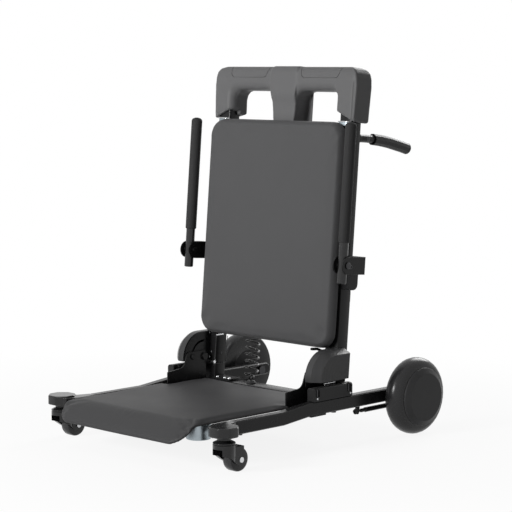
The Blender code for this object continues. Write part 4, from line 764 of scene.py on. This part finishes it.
def crowned(mesh, pad):
    # the front rolls back toward the outline: full depth inside, a thin rim at the edge
    for vert in mesh.vertices:
        x = abs(vert.co.x) - (pad["half"][0] - pad["corner"])
        z = abs(vert.co.z - pad["middleHeight"]) - (pad["half"][1] - pad["corner"])
        outside = sqrt(max(x, 0) ** 2 + max(z, 0) ** 2) + min(max(x, z), 0)
        inset = min(max((pad["corner"] - outside) / pad["roll"], 0), 1)
        share = pad["rim"] + (1 - pad["rim"]) * sqrt(1 - (1 - inset) ** 2)
        vert.co.y = pad["rear"] + (vert.co.y - pad["rear"]) * share
    return mesh


def makeBackPad(pad):
    slab = slabMesh([roundedSlab(pad["half"], pad["corner"])], pad["rear"] - pad["front"], pad["edge"])
    middle = (pad["front"] + pad["rear"]) / 2
    upright(slab, Matrix.Translation((0, middle, pad["middleHeight"])))
    mesh = crowned(remeshed(slab, pad["voxel"]), pad)
    mesh = swell(mesh, pad, lambda co: co.y > pad["rear"] - pad["held"])
    mesh = fitted(smoothed(mesh, pad["smoothing"]), Vector(pad["low"]), Vector(pad["high"]))
    mesh.transform(leanMatrix)
    made = piece("backCushion", welded(mesh), "padFabric", "carriage", 60)
    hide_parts("back_pad")
    print("back cushion made")


seatPad = {
    "voxel": 0.0042, "pressure": 3.0, "cap": 0.0030, "frames": 20,
    "held": 0.0045, "lip": 0.047, "smoothing": 2,
}


def makeSeatPad(pad):
    # the frame's own seat, drawn smooth: its top and front lip swell a little, and the rest is held
    mesh = copyOf("seat_pad")
    low, high = corners(mesh)
    mesh = remeshed(mesh, pad["voxel"])
    mesh = swell(mesh, pad, lambda co: co.y > low.y + pad["lip"] and co.z < high.z - pad["held"])
    mesh = fitted(smoothed(mesh, pad["smoothing"]), low, high)
    made = piece("seatCushion", welded(mesh), "seatFabric", "seat", 60)
    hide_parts("seat_pad")
    print("seat cushion made")


# crown moulding
# its own frame: x across, y back from its middle plane, z height up the lean
crownShape = {
    "voxel": 0.0022, "smoothing": 5, "plump": 0.0006, "groove": 0.0010,
    "depthMiddle": 0.00445, "halfDepth": 0.03125, "top": 0.9515, "cutter": 0.12,
    "grip": {
        "inner": 0.0515, "outer": 0.2035, "bottom": 0.923, "slope": 0.014, "corner": 0.011,
        "skin": 0.0042, "over": 0.02, "coreHeight": 0.060, "coreCorner": 0.020, "coreLength": 0.8,
    },
    "band": {
        "proud": 0.0012, "setBack": 0.0076, "rear": 0.012, "foot": 0.790, "corner": 0.006,
        "nose": [(0.010, 0), (0.002, 0.010), (0, 0.024)],  # back from the face, down from the top
        "bend": [(0, 0.888), (0.0012, 0.876)],  # back from the face, height
        "step": [(-0.0014, 0.857), (0, 0.842)],  # back from the lower face, height
        "edge": [(0.0365, 0.786), (0.0365, 0.822), (0.0455, 0.893), (0.0455, 0.96)],  # half width, height
    },
    "hole": {
        "wall": [(0.039, 0.76), (0.041, 0.83), (0.046, 0.89), (0.1885, 0.89), (0.1875, 0.83), (0.1875, 0.76)],
        "corner": 0.028, "middle": 0.11525, "half": 0.07325, "floor": 0.76, "top": 0.89,
        "flare": {1: 0.010, -1: 0.022}, "innerShare": 0.4, "topFlare": 0.024,  # flare by the sign of x
        "depth": 0.019, "start": 0.0005, "steps": 6,
    },
    "foot": [
        (-0.004, [(0.275, 0.785), (0.275, 0.803), (0.1985, 0.8375), (0.170, 0.855), (0.170, 0.785)]),
        (0.034, [(0.275, 0.785), (0.275, 0.799), (0.1985, 0.8310), (0.170, 0.845), (0.170, 0.785)]),
    ],
    "endGroove": {
        "x": 0.2460, "ahead": 0.00084,
        "profile": [(0, 0.935), (0.0021, 0.927), (0.0042, 0.905), (0.0042, 0.795), (0, 0.795)],
    },
}


def gripTool(shape, side, clearance):
    # what a hand grip fills: its front outline through the bar, less the bar's own core
    grip = shape["grip"]
    inner, outer = grip["inner"] - clearance, grip["outer"] + clearance
    bottom, top, slope = grip["bottom"] - clearance, shape["top"] + grip["over"], grip["slope"]
    front = eased([(inner + slope, bottom), (outer - slope, bottom), (outer, top), (inner, top)],
                  grip["corner"], 6)
    prism = upright(slabMesh([[(point.x * side, point.y) for point in front]], shape["cutter"]))
    half = shape["halfDepth"] - grip["skin"] + clearance
    outline = roundedSlab((half, grip["coreHeight"]), grip["coreCorner"])
    core = sideways(slabMesh([outline], grip["coreLength"]))
    coreTop = shape["top"] - grip["skin"] + clearance
    core.transform(Matrix.Translation((0, 0, coreTop - grip["coreHeight"])))
    return carved(welded(prism), "DIFFERENCE", core)


def crownBand(shape):
    # the raised band that runs over the bar and down the front of the pillar
    band = shape["band"]
    front = -shape["halfDepth"] - band["proud"]
    low = -shape["halfDepth"] + band["setBack"]
    top = shape["top"] + band["proud"]
    side = [(band["rear"], top)] + [(front + back, top - down) for back, down in band["nose"]]
    side += [(front + back, height) for back, height in band["bend"]]
    side += [(low + back, height) for back, height in band["step"]]
    side += [(low, band["foot"]), (band["rear"], band["foot"])]
    profile = sideways(slabMesh([eased(side, band["corner"], 3)], shape["cutter"]))
    face = band["edge"] + [(-x, height) for x, height in reversed(band["edge"])]
    return carved(profile, "INTERSECT", upright(slabMesh([face], shape["cutter"])))


def crownFlare(shape, side):
    # opens the front of a hand hole with a quarter-round rim
    hole = shape["hole"]
    middle, floor = hole["middle"], hole["floor"]
    wall = eased(hole["wall"], hole["corner"], 6)
    rings = []
    for step in range(hole["steps"] + 1):
        turn = step / hole["steps"] * pi / 2
        wide = hole["flare"][side] * (1 - sin(turn)) / hole["half"]
        high = hole["topFlare"] * (1 - sin(turn)) / (hole["top"] - floor)
        ring = []
        for point in wall:
            share = wide if point.x > middle else wide * hole["innerShare"]
            ring.append((side * (middle + (point.x - middle) * (1 + share)),
                         floor + (point.y - floor) * (1 + high)))
        rings.append((-shape["halfDepth"] - hole["start"] + hole["depth"] * (1 - cos(turn)), ring))
    return loftMesh(rings)


def crownFoot(shape, side):
    # undercuts the front of a leg's foot at a slant
    return loftMesh([(-shape["halfDepth"] + depth, [(side * x, height) for x, height in outline])
                     for depth, outline in shape["foot"]])


def crownGroove(shape, side):
    # the shallow channel along the front corner of the moulding's end
    groove = shape["endGroove"]
    place = (side * groove["x"], -shape["halfDepth"] - groove["ahead"], 0)
    return turnedMesh(groove["profile"], (0, 0, 1), place, 16)


def makeCrown(shape):
    # one soft moulding over the frame's crown and grips, with a groove round each grip
    crownFrame = leanMatrix @ Matrix.Translation((0, shape["depthMiddle"], 0))
    solid = copyOf("crown")
    solid.transform(crownFrame.inverted())
    for side in (1, -1):
        for tool in (crownFlare, crownFoot, crownGroove):
            solid = carved(solid, "DIFFERENCE", tool(shape, side))
    grips = copyOf("crown_grip_left", "crown_grip_right")
    grips.transform(crownFrame.inverted())
    work = bmesh.new()
    for part in (solid, grips, crownBand(shape)):
        work.from_mesh(part)
    work.to_mesh(solid)
    work.free()
    shell = remeshed(solid, shape["voxel"], shape["smoothing"])
    normals = [vert.normal.copy() for vert in shell.vertices]
    for vert, normal in zip(shell.vertices, normals):
        vert.co += normal * shape["plump"]
    body = shell
    for side, hand in hands:
        body = carved(body, "DIFFERENCE", gripTool(shape, side, shape["groove"]))
        grip = carved(shell, "INTERSECT", gripTool(shape, side, 0))
        grip.transform(crownFrame)
        made = piece("crownGrip_" + hand, welded(grip), "crownGrey", "carriage")
        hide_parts("crown_grip_" + hand)
    body.transform(crownFrame)
    made = piece("crownShell", welded(body), "crownGrey", "carriage")
    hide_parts("crown")
    print("crown made")


# small fittings
# each row: kind, place, the way it points, radius, length
# a paired row is for the right side, and its mirror image is made too
singleFittings = {
    "carriage": {
        "spacerRod_left": ("rod", (-0.2295, 0.1025, 0.1550), "X", 0.0047, 0.0323),
        "plateScrewTop_left": ("screw", (-0.2220, 0.1068, 0.2330), "-Y", 0.0034, 0.0024),
        "plateScrewMiddle_left": ("screw", (-0.2146, 0.1068, 0.1810), "-Y", 0.0022, 0.0016),
        "plateScrewLow_left": ("screw", (-0.2215, 0.1062, 0.1665), "-Y", 0.0030, 0.0022),
        "coverSpring": ("rod", (0.2480, 0.0530, 0.1565), "Y", 0.0024, 0.0400),
        "coverSpringCollar": ("rod", (0.2480, 0.0640, 0.1565), "Y", 0.0036, 0.0060),
        "bracketStud": ("capOrHoleShade", (0.2955, 0.0987, 0.4520), "X", 0.0052, 0.0018),
    },
    "base": {
        "blockPinFront": ("pin", (0.2655, 0.0085, 0.1312), "Z", 0.0026, 0.0180),
        "blockPinRear": ("pin", (0.2655, 0.1255, 0.1312), "Z", 0.0026, 0.0180),
        "blockScrewFront": ("screw", (0.2683, 0.0070, 0.1262), "X", 0.0026, 0.0020),
        "blockScrewRear": ("screw", (0.2683, 0.1306, 0.1262), "X", 0.0026, 0.0020),
    },
}
pairedFittings = {
    "carriage": {
        # painted shade: a dark domed disc stands in the hole in the handle, for the shade inside it
        "handleHole": ("capOrHoleShade", (0.2372, 0.2292, 0.7668), "X", 0.0058, 0.0012),
        "channelCap": ("rod", (0.1978, 0.1080, 0.2278), "Y", 0.0017, 0.0280),
        # painted shade: a dark domed disc stands in the channel's hole, for the shade inside it
        "channelHole": ("capOrHoleShade", (0.1990, 0.1289, 0.1772), "-X", 0.0034, 0.0010),
    },
    "base": {
        "flangeScrewOuter": ("screw", (0.1905, 0.1050, 0.1143), "Z", 0.0040, 0.0034),
        "flangeScrewMiddle": ("screw", (0.1660, 0.1080, 0.1143), "Z", 0.0036, 0.0028),
        "flangeScrewInner": ("screw", (0.1460, 0.1060, 0.1143), "Z", 0.0044, 0.0036),
    },
}
# the dark domed disc is a real cap on the bracket stud, and painted shade where it stands in a hole
fittingKinds = {
    "screw": ("button", "brightSteel"), "capOrHoleShade": ("button", "darkSteel"),
    "rod": ("rod", "brightSteel"), "pin": ("rod", "darkSteel"),
}
axes = {"X": (1, 0, 0), "-X": (-1, 0, 0), "Y": (0, 1, 0), "-Y": (0, -1, 0), "Z": (0, 0, 1)}
# a domed head with a socket for the key: shares of its radius and length
buttonShape = [(0, 0.30), (0.42, 0.30), (0.50, 0.96), (0.66, 1), (0.86, 0.82), (1, 0.40)]
buttonSeat = 0.0008
rodEase = 0.2  # of the radius


def fittingMesh(form, place, axis, radius, length):
    if form == "button":
        profile = [(radius * out, length * up) for out, up in buttonShape]
        profile += [(radius, -buttonSeat), (0, -buttonSeat)]
    else:
        ease = radius * rodEase
        profile = [(0, length), (radius - ease, length), (radius, length - ease), (radius, ease),
                   (radius - ease, 0), (0, 0)]
    return turnedMesh(profile, axis, place, 20)


def makeFittings(groups, sides):
    for body, rows in groups.items():
        for name, (kind, (x, y, z), way, radius, length) in rows.items():
            form, finish = fittingKinds[kind]
            for side, ending in sides:
                axis = (side * axes[way][0], *axes[way][1:])
                mesh = fittingMesh(form, (side * x, y, z), axis, radius, length)
                piece(name + ending, mesh, finish, body)


channelEdges = {
    "inside": 0.1984, "radius": 0.00085,
    "front": [(0.1101, 0.2303), (0.1023, 0.1486), (0.0990, 0.1455)],
    "rear": [(0.1521, 0.2214), (0.1455, 0.1495)],
    "seam": [(0.1023, 0.1490), (0.1455, 0.1498)],
}


def makeChannelEdges(look):
    # the folded lips of the cover plate inside the foot of each upright
    for side, hand in hands:
        for name in ("front", "rear", "seam"):
            lip = tubeMesh([(side * look["inside"], y, z) for y, z in look[name]], look["radius"])
            piece(f"channelLip_{name}_{hand}", lip, "coverGrey", "carriage", 60)


# pale collars between crown and pad, in the lean frame
collars = {
    "collarPlate": {"middle": (0.2175, -0.0105, 0.8125), "size": (0.034, 0.040), "thickness": 0.0026,
                    "corner": 0.004, "edge": 0.0007, "finish": "brightSteel"},
    "collarSleeve": {"middle": (0.2165, -0.0095, 0.8065), "size": (0.030, 0.038), "thickness": 0.0100,
                     "corner": 0.004, "edge": 0.0007, "finish": "paleMetal"},
}


def makeCollars():
    for name, look in collars.items():
        x, depth, height = look["middle"]
        half = [size / 2 for size in look["size"]]
        for side, hand in hands:
            mesh = slabMesh([roundedSlab(half, look["corner"])], look["thickness"], look["edge"])
            mesh.transform(leanMatrix @ Matrix.Translation((side * x, depth, height)))
            piece(f"{name}_{hand}", mesh, look["finish"], "carriage")


# back of the chair, in the lean frame
powerBox = {
    "face": 0.0190, "lid": (0.128, 0.132), "lidMiddle": (0, 0.460), "lidCorner": 0.010, "lidDepth": 0.0030,
    "lidEdge": 0.0005, "vents": 7, "ventHalf": (0.026, 0.0016), "ventCorner": 0.00152,
    "ventPitch": 0.0075, "ventMiddle": (-0.075, 0.555),
    "screws": [(x, w) for w in (0.337, 0.583) for x in (-0.119, 0.119)], "screwSize": (0.0036, 0.0022),
    "switch": (0.088, 0.414), "rockerTilt": 7,
    "switchBezel": {
        "half": (0.0125, 0.0170), "corner": 0.0025, "depth": 0.0030, "edge": 0.0008, "out": 0.0012},
    "switchRocker": {
        "half": (0.0090, 0.0130), "corner": 0.0015, "depth": 0.0040, "edge": 0.0009, "out": 0.0030},
    "socket": (0.048, 0.414),
    "socketRing": [(0, 0.0008), (0.0062, 0.0008), (0.0066, 0.0052), (0.0092, 0.0058), (0.0112, 0.0040),
                   (0.0118, -0.0004), (0, -0.0004)],
    "socketPin": [(0, 0.0048), (0.0009, 0.0046), (0.0012, 0.0038), (0.0012, 0), (0, 0)],
}
backScrews = {
    "boardScrew": {
        "places": [(x, -0.0193, w) for x in (-0.183, 0.183) for w in (0.275, 0.435, 0.600, 0.765)],
        "radius": 0.0042, "length": 0.0024},
    "barBolt": {
        "places": [(x, 0.0373, 0.367) for x in (-0.206, 0.206)], "radius": 0.0070, "length": 0.0040},
    "gripPin": {
        "places": [(x, 0.0357, 0.840) for x in (-0.224, 0.224)], "radius": 0.0060, "length": 0.0026},
}


def backFacing(mesh, x, depth, height):
    # thickness that ran along Z now runs front to back, at a place on the leaning back
    return welded(upright(mesh, leanMatrix @ Matrix.Translation((x, depth, height))))


def backTurned(profile, place, steps):
    # turned about an axis that points straight out of the back
    mesh = turnedMesh(profile, (0, 1, 0), (0, 0, 0), steps)
    mesh.transform(leanMatrix @ Matrix.Translation(place))
    return mesh


def backButton(name, place, radius, length, finish):
    mesh = fittingMesh("button", (0, 0, 0), axes["Y"], radius, length)
    mesh.transform(leanMatrix @ Matrix.Translation(place))
    piece(name, mesh, finish, "carriage")


def makeBoxLid(box):
    # the lid with its row of vent slots, and the screws in its corners
    x, height = box["lidMiddle"]
    ventX, ventHeight = box["ventMiddle"]
    outlines = [roundedSlab(box["lid"], box["lidCorner"])]
    for k in range(box["vents"]):
        drop = ventHeight - height - k * box["ventPitch"]
        vent = roundedSlab(box["ventHalf"], box["ventCorner"], 3)
        outlines.append([(px + ventX - x, py + drop) for px, py in vent])
    lid = slabMesh(outlines, box["lidDepth"], box["lidEdge"], 2)
    lid = backFacing(lid, x, box["face"] + box["lidDepth"] / 2, height)
    piece("boxLid", lid, "mouldedBlack", "carriage")
    for k, (px, py) in enumerate(box["screws"]):
        backButton(f"lidScrew_{k}", (px, box["face"] + box["lidDepth"], py), *box["screwSize"], "brightSteel")


def makeSwitch(box):
    x, height = box["switch"]
    for name, tilt in (("switchBezel", 0), ("switchRocker", box["rockerTilt"])):
        part = box[name]
        mesh = slabMesh([roundedSlab(part["half"], part["corner"])], part["depth"], part["edge"])
        mesh.transform(Matrix.Rotation(radians(tilt), 4, "X"))
        mesh = backFacing(mesh, x, box["face"] + box["lidDepth"] + part["out"], height)
        piece(name, mesh, "glossBlack", "carriage")


def makeChargeSocket(box):
    x, height = box["socket"]
    place = (x, box["face"] + box["lidDepth"], height)
    ring = backTurned(box["socketRing"], place, 28)
    piece("chargeSocket", ring, "darkSteel", "carriage")
    pin = backTurned(box["socketPin"], place, 14)
    piece("chargePin", pin, "brightSteel", "carriage")


def makeBackScrews():
    for kind, look in backScrews.items():
        for k, place in enumerate(look["places"]):
            backButton(f"{kind}_{k}", place, look["radius"], look["length"], "darkSteel")


# stage
stageLook = {
    "floorTone": 0.84, "floorShare": 0.14, "floorHalf": 14, "floorHeight": -0.0006,
    "shadeReach": 1.5, "ambient": 0.10,
}
lamps = {
    "keyLamp": {"place": (-0.45, -3.1, 1.45), "size": 0.9, "power": 88},
    "topLamp": {"place": (-0.6, -0.9, 3.0), "size": 1.2, "power": 9},
    "backLamp": {"place": (-0.7, 3.0, 2.1), "size": 2.0, "power": 56},
}
lampTarget = (0, 0.02, 0.42)


def makePaper(look):
    # white where it is background, with the shadow left in it near the chair
    material = bpy.data.materials.new("studioPaper")
    material.use_nodes = True
    material.node_tree.nodes.clear()
    kit = NodeKit(material.node_tree)
    tone = look["floorTone"]
    paper = kit.add("ShaderNodeBsdfDiffuse", None, {"Color": (tone, tone, tone)})
    white = kit.add("ShaderNodeEmission", None, {"Color": (1, 1, 1), "Strength": 1.0})
    place = kit.add("ShaderNodeNewGeometry", output="Position")
    distance = kit.add("ShaderNodeVectorMath", {"operation": "LENGTH"}, {0: place}, "Value")
    near = kit.add("ShaderNodeMath", {"operation": "SUBTRACT", "use_clamp": True},
                   {0: 1.0, 1: distance * (1 / look["shadeReach"])})
    mixed = kit.add("ShaderNodeMixShader", None, {
        0: kit.seenWhite() * (1.0 - near * look["floorShare"]), 1: paper, 2: white})
    kit.add("ShaderNodeOutputMaterial", None, {"Surface": mixed})
    return material


def makeStage(look):
    work = bmesh.new()
    bmesh.ops.create_grid(work, x_segments=1, y_segments=1, size=look["floorHalf"])
    data = bpy.data.meshes.new("studioFloor")
    work.to_mesh(data)
    work.free()
    data.materials.append(makePaper(look))
    floor = linked("studioFloor", data)
    floor.location.z = look["floorHeight"]


def makeWorld(look):
    world = bpy.data.worlds.new("studioWorld")
    world.use_nodes = True
    bpy.context.scene.world = world
    kit = NodeKit(world.node_tree)
    strength = kit.seenWhite() * (1 - look["ambient"]) + look["ambient"]
    background = world.node_tree.nodes["Background"]
    background.inputs["Color"].default_value = (1, 1, 1, 1)
    world.node_tree.links.new(strength.socket, background.inputs["Strength"])


def makeLamps():
    for name, lamp in lamps.items():
        data = bpy.data.lights.new(name, "AREA")
        data.shape = "DISK"
        data.size = lamp["size"]
        data.energy = lamp["power"]
        aimed(linked(name, data), Vector(lampTarget) - Vector(lamp["place"])).location = lamp["place"]


makeCamera(cameraView)
makeCurlyCord(curlyCord)
dressFrame()
makeBackPad(backPad)
makeSeatPad(seatPad)
makeCrown(crownShape)
makeFittings(singleFittings, ((1, ""),))
makeFittings(pairedFittings, ((1, "_right"), (-1, "_left")))
makeCollars()
makeChannelEdges(channelEdges)
makeBoxLid(powerBox)
makeSwitch(powerBox)
makeChargeSocket(powerBox)
makeBackScrews()
print("fittings made")
makeStage(stageLook)
makeWorld(stageLook)
makeLamps()
bpy.context.scene.view_settings.view_transform = "Standard"
print("stage set")
